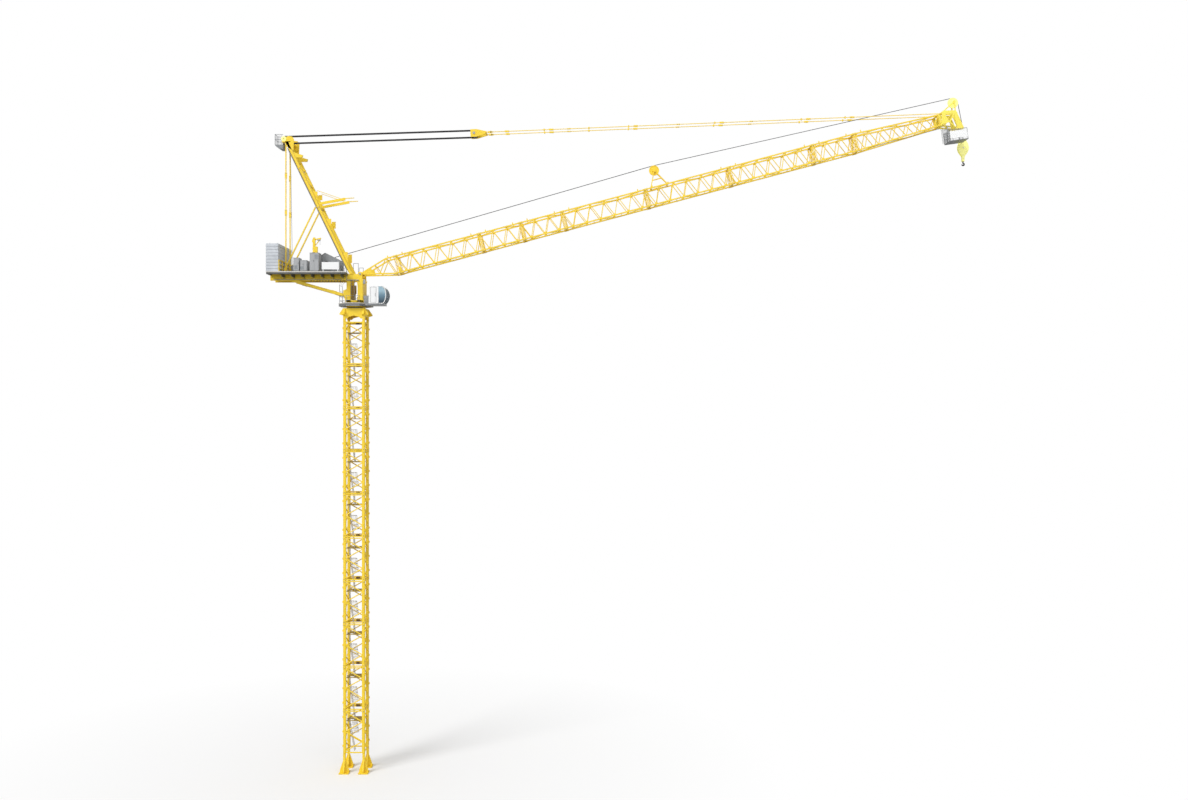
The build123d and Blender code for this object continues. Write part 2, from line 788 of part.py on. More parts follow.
# Winches: the hoist drum between its side plates with a motor in front, and the luffing drum behind
luffing_drum_z = deck_top + luffing_drum_lift
with BuildPart() as winches:
    skid_z = (deck_top, deck_top + winch_skid)
    side_y = (drum_width + winch_side) / 2 + drum_flange_width
    flange = drum_radius + drum_flange
    with BuildSketch(side_plane(0)):
        with Locations((drum_x, drum_z)):
            round_bar(flange)
    extrude(amount=drum_width / 2 + drum_flange_width, both=True)
    with BuildSketch(side_plane(0)):
        with Locations((drum_x, drum_z)):
            round_bar(flange + drum_flange)
            round_bar(drum_radius, mode=Mode.SUBTRACT)
    extrude(amount=drum_width / 2, both=True, mode=Mode.SUBTRACT)
    for side in (-1, 1):
        with BuildSketch(side_plane(side * side_y)):
            Polygon(
                (drum_x - winch_side_foot, deck_top),
                (drum_x + winch_side_foot, deck_top),
                (drum_x + winch_side_head, drum_z + winch_side_up),
                (drum_x - winch_side_head, drum_z + winch_side_up),
                align=None,
            )
        extrude(amount=winch_side / 2, both=True)
    skid_half = side_y + winch_side / 2
    box((drum_x - winch_side_foot, winch_motor_x[1]), (-skid_half, skid_half), skid_z)
    box(winch_motor_x, (-drum_width / 2, drum_width / 2), (skid_z[1], deck_top + winch_motor_height))
    with BuildSketch(side_plane(0)):
        with Locations((luffing_drum_x, luffing_drum_z)):
            round_bar(luffing_drum_radius)
    extrude(amount=luffing_drum_width / 2, both=True)
    luffing_side_y = (luffing_drum_width + winch_side) / 2
    for side in (-1, 1):
        with BuildSketch(side_plane(side * luffing_side_y)):
            Polygon(
                (luffing_drum_x - luffing_side_foot, deck_top),
                (luffing_drum_x + luffing_side_foot, deck_top),
                (luffing_drum_x + winch_side_head, deck_top + luffing_side_height),
                (luffing_drum_x - winch_side_head, deck_top + luffing_side_height),
                align=None,
            )
        extrude(amount=winch_side / 2, both=True)
    luffing_half = luffing_side_y + winch_side / 2
    skid_x = (luffing_drum_x - luffing_side_foot, luffing_drum_x + luffing_side_foot)
    box(skid_x, (-luffing_half, luffing_half), skid_z)
save(winches, "winches")

# Guard round the hoist drum: a peaked plate on each side and one across the back
with BuildPart() as winch_guard:
    for side in (-1, 1):
        with BuildSketch(side_plane(side * (winch_guard_y + winch_guard_plate / 2))):
            Polygon(*winch_guard_line, align=None)
        extrude(amount=winch_guard_plate / 2, both=True)
    guard_rear = winch_guard_line[0][0]
    guard_sill = deck_top + winch_guard_sill
    guard_limits = (-winch_guard_y, winch_guard_y)
    box((guard_rear, guard_rear + winch_guard_plate), guard_limits, (guard_sill, winch_guard_line[-1][1]))
save(winch_guard, "winch_guard")

# Service crane on the tallest cabinet: a post with its control box and a braced arm
with BuildPart() as service_crane:
    crane_base = deck_top + cabinets[2][1]
    crane_top = crane_base + crane_height
    box(crane_x, crane_y, (crane_base, crane_top))
    box(crane_box_x, crane_y, (crane_base, crane_base + crane_box_height))
    with BuildSketch(side_plane(sum(crane_y) / 2)):
        arm_start = (crane_x[1], crane_top - crane_arm)
        arm_end = (cabinets[2][0][1] + 2 * toe_board_height, crane_top)
        bars(crane_arm, (arm_start, arm_end))
        bars(crane_arm / 2, ((crane_x[1], crane_base + crane_height / 2), arm_end))
    extrude(amount=crane_arm / 2, both=True)
save(service_crane, "service_crane")

# Bare board on two posts at the near edge of the deck
with BuildPart() as machinery_board:
    board_low = deck_top + board_lift
    board_top = board_low + board_height
    box(board_x, (-deck_half_width, -deck_half_width + toe_board), (board_low, board_top))
    for x in (board_x[0] + board_height / 6, board_x[1] - board_height / 6):
        post_y = (-deck_half_width + toe_board, -deck_half_width + toe_board + deck_edge)
        box((x - deck_edge / 2, x + deck_edge / 2), post_y, (deck_top, board_top))
save(machinery_board, "machinery_board")

# A-frame: two raked legs on the tower, with tubes across, step plates and wedges near the head
leg_foot_z = deck_z - leg_foot_drop
leg_line = ((frame_foot_x, leg_foot_z), (frame_head_x, frame_head_z))
leg_slope = (frame_head_x - frame_foot_x) / (frame_head_z - leg_foot_z)


def leg_x(height):
    """The middle of a leg at a height."""
    return frame_foot_x + leg_slope * (height - leg_foot_z)


with BuildPart() as a_frame_legs:
    leg_middle = ((frame_foot_x + frame_head_x) / 2, (deck_z + head_plate_z) / 2)
    for side in (-1, 1):
        with BuildSketch(side_plane(side * leg_y)):
            bars(leg_width, leg_line)
            with Locations(leg_middle):
                Rectangle(frame_foot_x - 2 * frame_head_x, head_plate_z - deck_z, mode=Mode.INTERSECT)
        extrude(amount=leg_depth / 2, both=True)
        with BuildSketch(side_plane(side * leg_y)):
            Polygon(*head_wedge, align=None)
        extrude(amount=leg_depth / 2, both=True)
        with BuildSketch(side_plane(side * leg_y)):
            for height, size in step_plates:
                with Locations((leg_x(height) + leg_width / 2 + step_plate_reach, height)):
                    Rectangle(step_plate_length, size)
        extrude(amount=step_plate / 2, both=True)
    with BuildSketch(side_plane(0)):
        with Locations(*[(leg_x(height), height) for height in leg_cross_heights]):
            Rectangle(leg_cross, leg_cross)
    extrude(amount=leg_y, both=True)
save(a_frame_legs, "a_frame_legs")

# Ladder behind the near leg, on brackets
with BuildPart() as a_frame_ladder:
    back = leg_width / 2 + leg_ladder_back
    run = (frame_foot_x - frame_head_x, frame_head_z - leg_foot_z)
    shift = (-back * run[1] / hypot(*run), -back * run[0] / hypot(*run))
    low_end, high_end = [(leg_x(height) + shift[0], height + shift[1]) for height in leg_ladder_heights]
    half_ladder = leg_ladder_width / 2
    for y in (-leg_y - half_ladder, -leg_y + half_ladder):
        with BuildSketch(side_plane(y)):
            bars(leg_ladder_stile, (low_end, high_end))
        extrude(amount=leg_ladder_rung / 2, both=True)
    with BuildSketch(side_plane(-leg_y)):
        for count in range(leg_ladder_rungs):
            share = (count + 0.5) / leg_ladder_rungs
            rung_x = low_end[0] + share * (high_end[0] - low_end[0])
            rung_z = low_end[1] + share * (high_end[1] - low_end[1])
            with Locations((rung_x, rung_z)):
                Rectangle(leg_ladder_rung, leg_ladder_rung)
    extrude(amount=half_ladder, both=True)
    with BuildSketch(side_plane(-leg_y)):
        for height in leg_ladder_brackets:
            bracket_end = (leg_x(height) + shift[0], height + shift[1])
            bars(leg_ladder_bracket, ((leg_x(height), height), bracket_end))
        bars(leg_width, leg_line, mode=Mode.SUBTRACT)
    extrude(amount=half_ladder, both=True)
save(a_frame_ladder, "a_frame_ladder")

# Back struts: a slim bar from each leg down to a foot on the deck
with BuildPart() as a_frame_struts:
    strut_foot_x, strut_foot_z = back_strut_line[1]
    foot_top_z = strut_foot_z + leg_ladder_stile
    for side in (-1, 1):
        with BuildSketch(side_plane(side * leg_y)):
            bars(back_strut, back_strut_line)
            bars(leg_width, leg_line, mode=Mode.SUBTRACT)
            with Locations((strut_foot_x, (deck_top + foot_top_z) / 2)):
                Rectangle(back_strut_foot, foot_top_z - deck_top)
        extrude(amount=back_strut_depth / 2, both=True)
save(a_frame_struts, "a_frame_struts")

# Rear ties: upright bars from the deck to the head, thicker at their pinned joints
with BuildPart() as a_frame_ties:
    for side in (-1, 1):
        with BuildSketch(side_plane(side * tie_y)):
            with Locations((tie_x, (deck_top + head_plate_z) / 2)):
                Rectangle(tie_width, head_plate_z - deck_top)
            with Locations(*[(tie_x, height) for height in tie_joints]):
                Rectangle(tie_joint_width, tie_joint_height)
        extrude(amount=tie_depth / 2, both=True)
save(a_frame_ties, "a_frame_ties")

# Head: a slotted plate on the legs and ties, cheeks round the sheave pack and its pin
cheek_y = fall_spread / 2 + head_cheek_gap
pack_half = fall_spread / 2 + head_cheek / 2
with BuildPart() as a_frame_head:
    with BuildSketch(Plane.XY.offset(head_plate_z)):
        with Locations((sum(head_plate_x) / 2, 0)):
            Rectangle(head_plate_x[1] - head_plate_x[0], 2 * leg_y + leg_depth)
        with Locations((sum(head_slot_x) / 2, 0)):
            Rectangle(head_slot_x[1] - head_slot_x[0], 2 * cheek_y - head_cheek - 2, mode=Mode.SUBTRACT)
    extrude(amount=head_plate_thickness)
    for side in (-1, 1):
        with BuildSketch(side_plane(side * cheek_y)):
            Polygon(*head_cheek_line, align=None)
        extrude(amount=head_cheek / 2, both=True)
    with BuildSketch(side_plane(0)):
        with Locations((head_sheave_x, head_sheave_z)):
            round_bar(pin_radius)
    extrude(amount=cheek_y, both=True)
save(a_frame_head, "a_frame_head")

# Head sheaves: a pack of wheels that turns on the head's pin
with BuildPart() as head_sheaves:
    with BuildSketch(side_plane(0)):
        with Locations((head_sheave_x, head_sheave_z)):
            round_bar(head_sheave_radius)
            round_hole(pin_radius + pin_clearance)
    extrude(amount=pack_half, both=True)
save(head_sheaves, "head_sheaves")

# Basket behind the head: a floor with railed sides and an upright plate against the head
with BuildPart() as a_frame_basket:
    half_basket_bar = basket_bar / 2
    box(basket_x, (-basket_y, basket_y), basket_floor)
    box((basket_x[0], basket_plate_x[1]), (-basket_y, basket_y), basket_floor)
    plate_top = head_plate_z + head_plate_thickness - half_basket_bar
    box(basket_plate_x, (-basket_y, basket_y), (basket_floor[0], plate_top))
    for x in (basket_x[0] + half_basket_bar, basket_x[1]):
        for y in (half_basket_bar - basket_y, basket_y - half_basket_bar):
            post_x = (x - half_basket_bar, x + half_basket_bar)
            box(post_x, (y - half_basket_bar, y + half_basket_bar), (basket_floor[0], basket_top))
    for z in basket_levels:
        rail_z = (z - half_basket_bar, z + half_basket_bar)
        box(basket_x, (-basket_y, basket_bar - basket_y), rail_z)
        box(basket_x, (basket_y - basket_bar, basket_y), rail_z)
        box((basket_x[0], basket_x[0] + basket_bar), (-basket_y, basket_y), rail_z)
save(a_frame_basket, "a_frame_basket")

# Backstops: an arm on each leg with a forked end that meets the raised jib, and its stay rod
half_backstop = backstop_depth / 2
with BuildPart() as backstops:
    for side in (-1, 1):
        with BuildSketch(side_plane(side * (leg_y - half_backstop))):
            bars(backstop, backstop_line)
            bars(backstop_prong, prong_line)
            bars(stay_rod, stay_line)
            bars(leg_width, leg_line, mode=Mode.SUBTRACT)
            with Locations((stay_end - backstop_back / 2, sum((stay_line[0][1], stay_line[1][1])) / 2)):
                Rectangle(backstop_back, 2 * backstop_back, mode=Mode.SUBTRACT)
        extrude(amount=half_backstop, both=True)
save(backstops, "backstops")


def wheel_touch(start, start_radius, end, end_radius):
    """The ends of a straight rope that runs over two wheels, on their left going from start to end."""
    run = (end[0] - start[0], end[1] - start[1])
    turn = atan2(run[1], run[0]) + acos((start_radius - end_radius) / hypot(*run))
    return (
        (start[0] + start_radius * cos(turn), start[1] + start_radius * sin(turn)),
        (end[0] + end_radius * cos(turn), end[1] + end_radius * sin(turn)),
    )


def jib_point(along, up):
    """X and Z of a point on the jib, from its distance along and above the jib's middle line."""
    return (pivot_x + along * jib_dir.X + up * jib_up.X, pivot_z + along * jib_dir.Z + up * jib_up.Z)


# Luffing tackle: falls of rope from the head to the travelling block
head_point = (head_sheave_x, head_sheave_z)
block_point = (block_x, block_z)
fall_radius = head_sheave_radius + rope / 2 + rope_gap
upper_fall = wheel_touch(head_point, fall_radius, block_point, fall_radius)
lower_fall = tuple(reversed(wheel_touch(block_point, fall_radius, head_point, fall_radius)))
with BuildPart() as luffing_ropes:
    for count in range(fall_count):
        fall_y = (count / (fall_count - 1) - 0.5) * fall_lay
        with BuildSketch(side_plane(fall_y)):
            bars(rope, upper_fall, lower_fall)
        extrude(amount=rope / 2, both=True)
save(luffing_ropes, "luffing_ropes")

# Lead rope from the head sheaves down to the luffing drum
with BuildPart() as luffing_lead_rope:
    with BuildSketch(side_plane(0)):
        lead_low = (lead_rope_x, luffing_drum_z)
        lead_high = (head_sheave_x + fall_radius, head_sheave_z - lead_rope_drop)
        bars(rope, (lead_low, lead_high))
    extrude(amount=rope / 2, both=True)
save(luffing_lead_rope, "luffing_lead_rope")

# Travelling block: cheeks round a sheave pack, with a tail that takes the pendant bars
pendant_end = jib_point(pendant_eye_along, pendant_eye_up)
pendant_run = hypot(pendant_end[0] - block_x, pendant_end[1] - block_z)
pendant_dir = ((pendant_end[0] - block_x) / pendant_run, (pendant_end[1] - block_z) / pendant_run)


def on_pendant(along, up=0):
    """X and Z of a point on the line from the travelling block to the jib head."""
    return (
        block_x + along * pendant_dir[0] - up * pendant_dir[1],
        block_z + along * pendant_dir[1] + up * pendant_dir[0],
    )


with BuildPart() as travelling_block:
    for side in (-1, 1):
        with BuildSketch(side_plane(side * cheek_y)):
            Polygon(
                on_pendant(-block_rear, -block_half_height),
                on_pendant(block_front, -block_half_height),
                on_pendant(tail_along, -tail_half),
                on_pendant(tail_along, tail_half),
                on_pendant(block_front, block_half_height),
                on_pendant(-block_rear, block_half_height),
                align=None,
            )
        extrude(amount=head_cheek / 2, both=True)
    with BuildSketch(side_plane(0)):
        with Locations(block_point):
            round_bar(pin_radius)
        with Locations(on_pendant(tail_along - tail_half)):
            round_bar(tail_pin)
    extrude(amount=cheek_y, both=True)
    with BuildSketch(side_plane(0)):
        with Locations(block_point):
            round_bar(head_sheave_radius)
    extrude(amount=pack_half, both=True)
save(travelling_block, "travelling_block")

# Pendant bars: one on each side, in lengths pinned end to end, with an eye on the jib head's pin
with BuildPart() as pendant_bars:
    for side in (-1, 1):
        with BuildSketch(side_plane(side * pendant_spread / 2)):
            bars(pendant_bar, (on_pendant(tail_along - pendant_lap), on_pendant(pendant_run - pendant_pin)))
            for share in pendant_joints:
                middle = tail_along + share * (pendant_run - tail_along)
                bars(2 * pendant_bar, (on_pendant(middle - pendant_lap), on_pendant(middle + pendant_lap)))
            with Locations(pendant_end):
                round_bar(pendant_eye)
                round_hole(pendant_pin + pin_clearance)
        extrude(amount=pendant_depth / 2, both=True)
save(pendant_bars, "pendant_bars")

# Jib: a box lattice of four chords, with a zigzag on each side, in sections between a foot and a tip
half_width = jib_width / 2
half_chord = jib_chord / 2


def jib_side_plane(start, y):
    """A plane through one side of the jib: X is up from its middle line, Y is along it."""
    x, z = jib_point(start, 0)
    return Plane(origin=(x, y, z), x_dir=jib_up, z_dir=(0, 1, 0))


def jib_end_plane(along):
    """A plane square to the jib: X is across it and Y is up from its middle line."""
    x, z = jib_point(along, 0)
    return Plane(origin=(x, 0, z), x_dir=(0, 1, 0), z_dir=jib_dir)


def jib_face_plane(start, end):
    """A plane through the top or bottom chords, between two X and Z points: Y is along the jib."""
    run = Vector(end[0] - start[0], 0, end[1] - start[1]).normalized()
    return Plane(origin=(start[0], 0, start[1]), x_dir=(0, 1, 0), z_dir=Vector(0, 1, 0).cross(run))


def jib_lattice(name, start, length, start_depth, end_depth):
    """One section of the jib, which may taper in depth."""
    bays = round(length / bay)
    with BuildPart() as section:
        for side in (-1, 1):
            with BuildSketch(jib_side_plane(start, side * half_width)) as chords:
                for level in (-0.5, 0.5):
                    bars(jib_chord, ((level * start_depth, 0), (level * end_depth, length)))
            extrude(chords.sketch, amount=half_chord, both=True)
        for side in (-1, 1):
            with BuildSketch(jib_side_plane(start, side * half_width)) as lattice:
                points = []
                for step in range(2 * bays + 1):
                    share = step / (2 * bays)
                    depth = start_depth + share * (end_depth - start_depth)
                    points.append((depth / 2 if step % 2 == 0 else -depth / 2, share * length))
                trace(Wire.make_polygon(points, close=False), line_width=jib_lacing)
                last = length - half_chord
                bars(jib_lacing, ((-start_depth / 2, half_chord), (start_depth / 2, half_chord)))
                bars(jib_lacing, ((-end_depth / 2, last), (end_depth / 2, last)))
                with Locations((0, length / 2)):
                    Rectangle(start_depth, length, mode=Mode.INTERSECT)
            extrude(lattice.sketch, amount=jib_lacing / 2, both=True)
        for level in (-0.5, 0.5):
            ends = (jib_point(start, level * start_depth), jib_point(start + length, level * end_depth))
            reach = hypot(ends[1][0] - ends[0][0], ends[1][1] - ends[0][1])
            with BuildSketch(jib_face_plane(*ends)) as lattice:
                legs = ceil(bays / 2)
                points = [(half_width * (-1) ** step, reach * step / legs) for step in range(legs + 1)]
                trace(Wire.make_polygon(points, close=False), line_width=jib_lacing)
                bars(jib_lacing, ((-half_width, half_chord), (half_width, half_chord)))
                bars(jib_lacing, ((-half_width, reach - half_chord), (half_width, reach - half_chord)))
                with Locations((0, reach / 2)):
                    Rectangle(jib_width, reach, mode=Mode.INTERSECT)
            extrude(lattice.sketch, amount=jib_lacing / 2, both=True)
        if start_depth != end_depth:
            with BuildSketch(jib_end_plane(start)) as limits:
                Rectangle(2 * jib_width, 2 * start_depth)
            extrude(limits.sketch, amount=length, mode=Mode.INTERSECT)
    save(section, name)


section_start = jib_foot_length
for number, length in enumerate(jib_sections, 1):
    jib_lattice(f"jib_section_{number}", section_start, length, jib_depth, jib_depth)
    section_start += length
jib_lattice("jib_tip_section", section_start, tip_length, jib_depth, tip_depth)
tip_end = section_start + tip_length

# Jib foot: a tapered frame on each side that ends in the pivot eye, tied across
half_depth = jib_depth / 2
foot_end = jib_foot_length - half_chord
foot_ties = (foot_top, (half_depth, foot_end), foot_bottom, (-half_depth, foot_end), foot_post)
with BuildPart() as jib_foot:
    for side in (-1, 1):
        with BuildSketch(jib_side_plane(0, side * half_width)):
            bars(jib_chord, ((0, 0), foot_top), (foot_top, (half_depth, jib_foot_length)))
            bars(jib_chord, ((0, 0), foot_bottom), (foot_bottom, (-half_depth, jib_foot_length)))
            bars(jib_lacing, (foot_top, foot_bottom), (foot_top, foot_brace), (foot_post, foot_brace))
            Polygon((0, 0), *foot_plate_corners, align=None)
            round_bar(eye_radius)
            round_hole(pin_radius + pin_clearance)
            with Locations((0, jib_foot_length / 2)):
                Rectangle(jib_depth + jib_chord, jib_foot_length + 2 * eye_radius, mode=Mode.INTERSECT)
        extrude(amount=half_chord, both=True)
    with BuildSketch(jib_side_plane(0, 0)):
        with Locations(*foot_ties):
            Rectangle(jib_lacing, jib_lacing)
    extrude(amount=half_width, both=True)
save(jib_foot, "jib_foot")


def wheel(centre, groove, bore, width):
    """A grooved rope sheave in the open part, with its axle along Y."""
    rim = groove + rope + rim_over_rope
    with BuildSketch(side_plane(0)) as disc:
        with Locations(centre):
            round_bar(rim)
            round_hole(bore)
    extrude(disc.sketch, amount=width / 2, both=True)
    with BuildSketch(side_plane(0)) as channel:
        with Locations(centre):
            round_bar(rim + rope)
            round_bar(groove, mode=Mode.SUBTRACT)
    extrude(channel.sketch, amount=rope / 2 + rope_side_gap, both=True, mode=Mode.SUBTRACT)


mid_point = jib_point(mid_sheave_along, mid_sheave_up)
top_point = jib_point(top_sheave_along, top_sheave_up)
nose_point = jib_point(nose_along, nose_up)
with BuildPart() as mid_sheave:
    wheel(mid_point, mid_sheave_radius, axle + pin_clearance, sheave_width)
save(mid_sheave, "mid_sheave")

with BuildPart() as top_sheave:
    wheel(top_point, top_sheave_radius, axle + pin_clearance, sheave_width)
save(top_sheave, "top_sheave")

with BuildPart() as nose_sheave:
    wheel(nose_point, nose_radius, nose_axle + pin_clearance, sheave_width)
save(nose_sheave, "nose_sheave")

# Stand of the mid-jib sheave: two frames on cross bars that lie on the top chords
stand_y = sheave_width / 2 + stand_gap
stand_low = half_depth + half_chord
stand_rise = stand_low + stand_foot / 2
stand_top = (mid_sheave_up, mid_sheave_along)
stand_ends = [(stand_rise, mid_sheave_along + reach) for reach in stand_feet]
stand_brace_ends = [(stand_low + stand_brace_lift, mid_sheave_along + reach) for reach in stand_brace_reach]
with BuildPart() as sheave_stand:
    for side in (-1, 1):
        with BuildSketch(jib_side_plane(0, side * stand_y)):
            bars(stand_bar, (stand_top, stand_ends[0]), (stand_top, stand_ends[1]))
            bars(stand_brace, stand_brace_ends)
            with Locations(stand_top):
                round_bar(stand_boss)
        extrude(amount=stand_plate / 2, both=True)
    with BuildSketch(jib_side_plane(0, 0)):
        with Locations(*stand_ends):
            Rectangle(stand_foot, stand_foot_width)
    extrude(amount=half_width + half_chord, both=True)
    with BuildSketch(jib_side_plane(0, 0)):
        with Locations(stand_top):
            round_bar(axle)
    extrude(amount=stand_y, both=True)
save(sheave_stand, "sheave_stand")

# Jib head: an end frame and two triangulated side frames that carry the sheaves and the pendant pins
head_start = tip_end + 2 * half_head_bar
head_low = -tip_depth / 2
head_high = tip_depth / 2
with BuildPart() as jib_head:
    top_end = (top_sheave_up, top_sheave_along)
    nose_end = (nose_up, nose_along)
    upper_start = (head_high, head_start - half_head_bar)
    lower_start = (head_low, head_start - half_head_bar)
    rear_corner = (head_rear_up, jib_length + head_rear_reach)
    front_corner = (head_front_up, jib_length + head_front_reach)
    inner_corner = (head_inner_up, jib_length + head_inner_reach)
    eye_end = (pendant_eye_up, pendant_eye_along)
    for side in (-1, 1):
        with BuildSketch(jib_side_plane(0, side * head_frame_y)):
            bars(head_bar, (upper_start, rear_corner), (lower_start, nose_end), (rear_corner, inner_corner))
            bars(head_beam, (rear_corner, front_corner), (front_corner, nose_end))
            bars(head_bar, (front_corner, inner_corner))
            bars(head_post, (rear_corner, top_end), (front_corner, top_end))
            with Locations(top_end, eye_end):
                round_bar(head_eye)
            with Locations(nose_end):
                round_bar(head_beam / 2)
            with Locations((0, tip_end + jib_depth)):
                Rectangle(4 * jib_depth, 2 * jib_depth, mode=Mode.INTERSECT)
        extrude(amount=head_side / 2, both=True)
        pin_half = (pendant_spread / 2 - head_frame_y + head_side) / 2
        with BuildSketch(jib_side_plane(0, side * (head_frame_y + pin_half))):
            with Locations(eye_end):
                round_bar(pendant_pin)
        extrude(amount=pin_half, both=True)
        with BuildSketch(jib_side_plane(0, side * (head_frame_y + 2 * pin_half))):
            with Locations(eye_end):
                round_bar(pendant_pin + head_side / 2)
        extrude(amount=head_side / 4, both=True)
    with BuildSketch(jib_end_plane(tip_end)):
        Rectangle(jib_width + jib_chord, tip_depth + jib_chord)
        Rectangle(jib_width - jib_chord, tip_depth - jib_chord, mode=Mode.SUBTRACT)
        with Locations((-head_frame_y, 0), (head_frame_y, 0)):
            Rectangle(head_side, tip_depth)
    extrude(amount=2 * half_head_bar)
    for end, radius in ((top_end, axle), (nose_end, nose_axle), (rear_corner, half_head_bar)):
        with BuildSketch(jib_side_plane(0, 0)):
            with Locations(end):
                round_bar(radius)
        extrude(amount=head_frame_y, both=True)
save(jib_head, "jib_head")


def head_bar_z(x):
    """The height of the head's lower bar at an X."""
    start = jib_point(head_start - half_head_bar, head_low)
    return start[1] + (x - start[0]) * (nose_point[1] - start[1]) / (nose_point[0] - start[0])


# Tip platform on the near side of the head, with rails and a bare board on its outer rail
platform_start = (nose_point[0] - platform_back, nose_point[1] - platform_back_drop)
platform_end = (nose_point[0] + platform_front, nose_point[1] - platform_front_drop)


def platform_z_at(x):
    """The height of the tilted platform's floor at an X."""
    share = (x - platform_start[0]) / (platform_end[0] - platform_start[0])
    return platform_start[1] + share * (platform_end[1] - platform_start[1])


with BuildPart() as tip_platform:
    with BuildSketch(side_plane(sum(platform_y) / 2)):
        bars(platform_floor, (platform_start, platform_end))
    extrude(amount=(platform_y[1] - platform_y[0]) / 2, both=True)
    platform_middle = (platform_start[0] + platform_end[0]) / 2
    post_x = (platform_start[0] + rail, platform_middle, platform_end[0] - rail)
    for y in (platform_y[0] + rail / 2, platform_y[1] - rail / 2):
        with BuildSketch(side_plane(y)):
            for x in post_x:
                post_head = (x + platform_lean * platform_rail, platform_z_at(x) + platform_rail)
                bars(rail, ((x, platform_z_at(x)), post_head))
            for lift in (platform_rail / 2, platform_rail):
                lean = platform_lean * lift
                rail_start = (post_x[0] + lean, platform_z_at(post_x[0]) + lift)
                bars(rail, (rail_start, (post_x[2] + lean, platform_z_at(post_x[2]) + lift)))
        extrude(amount=rail / 2, both=True)
    hanger_near = head_frame_y + head_side / 2
    hanger_y = (-hanger_near - platform_floor, -hanger_near)
    for share in hanger_shares:
        x = platform_start[0] + share * (platform_end[0] - platform_start[0])
        box((x - rail, x + rail), hanger_y, (platform_z_at(x), head_bar_z(x) + rail))
save(tip_platform, "tip_platform")

# Bare board on the outer rail of the tip platform
with BuildPart() as tip_board:
    with BuildSketch(side_plane(platform_y[0] - tip_board_thickness / 2)):
        board_ends = []
        for share in tip_board_shares:
            x = platform_start[0] + share * (platform_end[0] - platform_start[0])
            board_ends.append((x, platform_z_at(x) + tip_board_lift))
        bars(tip_board_height, board_ends)
    extrude(amount=tip_board_thickness / 2, both=True)
save(tip_board, "tip_board")

# Hoist rope: winch to mid-jib sheave, then over the jib head and down to the nose
mid_rope = mid_sheave_radius + rope / 2 + rope_gap
top_rope = top_sheave_radius + rope / 2 + rope_gap
nose_rope = nose_radius + rope / 2 + rope_gap
drum_rope = drum_radius + rope / 2 + rope_gap
back_run = wheel_touch((drum_x, drum_z), drum_rope, mid_point, mid_rope)
front_run = wheel_touch(mid_point, mid_rope, top_point, top_rope)
head_run = wheel_touch(top_point, top_rope, nose_point, nose_rope)
with BuildPart() as hoist_rope_back:
    with BuildSketch(side_plane(0)):
        bars(rope, back_run)
    extrude(amount=rope / 2, both=True)
save(hoist_rope_back, "hoist_rope_back")

# Front run: along the jib to the top sheave, over it in short straight steps, and on to the nose
with BuildPart() as hoist_rope_front:
    over_points = [front_run[1]]
    start_turn = atan2(front_run[1][1] - top_point[1], front_run[1][0] - top_point[0])
    end_turn = atan2(head_run[0][1] - top_point[1], head_run[0][0] - top_point[0])
    for step in range(1, rope_steps):
        turn = start_turn + (end_turn - start_turn) * step / rope_steps
        over_points.append((top_point[0] + top_rope * cos(turn), top_point[1] + top_rope * sin(turn)))
    with BuildSketch(side_plane(0)):
        trace(Wire.make_polygon([front_run[0], *over_points, *head_run], close=False), line_width=rope)
    extrude(amount=rope / 2, both=True)
save(hoist_rope_front, "hoist_rope_front")

# Fall of rope from the nose sheave to the hook block
fall_x = nose_point[0] + nose_rope
block_top = nose_point[1] - fall_length
block_low = block_top - block_outline[-1][0]
with BuildPart() as hoist_fall:
    fall_limits = (block_top + rope_gap, nose_point[1] - rope / 2)
    box((fall_x - rope / 2, fall_x + rope / 2), (-rope / 2, rope / 2), fall_limits)
save(hoist_fall, "hoist_fall")

# Hook block: two tear-shaped cheeks round a wheel, with a plate on top and a solid neck below
with BuildPart() as hook_block:
    right_edge = [(fall_x + half, block_top - depth) for depth, half in block_outline]
    left_edge = [(fall_x - half, block_top - depth) for depth, half in reversed(block_outline)]
    for side in (-1, 1):
        with BuildSketch(side_plane(side * (block_half - cheek_plate / 2))):
            Polygon(*right_edge, *left_edge, align=None)
        extrude(amount=cheek_plate / 2, both=True)
    with BuildSketch(side_plane(0)):
        with Locations((fall_x, block_top - block_wheel_depth)):
            round_bar(block_wheel)
    extrude(amount=block_half - cheek_plate / 2, both=True)
    block_y = (-block_half, block_half)
    top_half = block_outline[0][1]
    neck_half = block_outline[-1][1]
    neck_top = block_top - block_outline[-2][0]
    box((fall_x - top_half, fall_x + top_half), block_y, (block_top - cheek_plate, block_top))
    box((fall_x - neck_half, fall_x + neck_half), block_y, (block_low, neck_top))
save(hook_block, "hook_block")

# Hook: a shank in the neck's swivel and an open hook of short straight lengths
with BuildPart() as hook:
    shank_low = block_low - rope_gap - shank_length
    with BuildSketch(Plane.XY.offset(shank_low)):
        with Locations((fall_x, 0)):
            round_bar(hook_neck)
    extrude(amount=shank_length)
    hook_z = shank_low - hook_radius
    hook_points = []
    for turn in hook_turns:
        reach = (hook_radius * cos(radians(turn)), hook_radius * sin(radians(turn)))
        hook_points.append((fall_x + reach[0], hook_z + reach[1]))
    with BuildSketch(side_plane(0)):
        trace(Wire.make_polygon(hook_points, close=False), line_width=hook_thickness)
    extrude(amount=hook_thickness / 2, both=True)
save(hook, "hook")
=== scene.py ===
import math

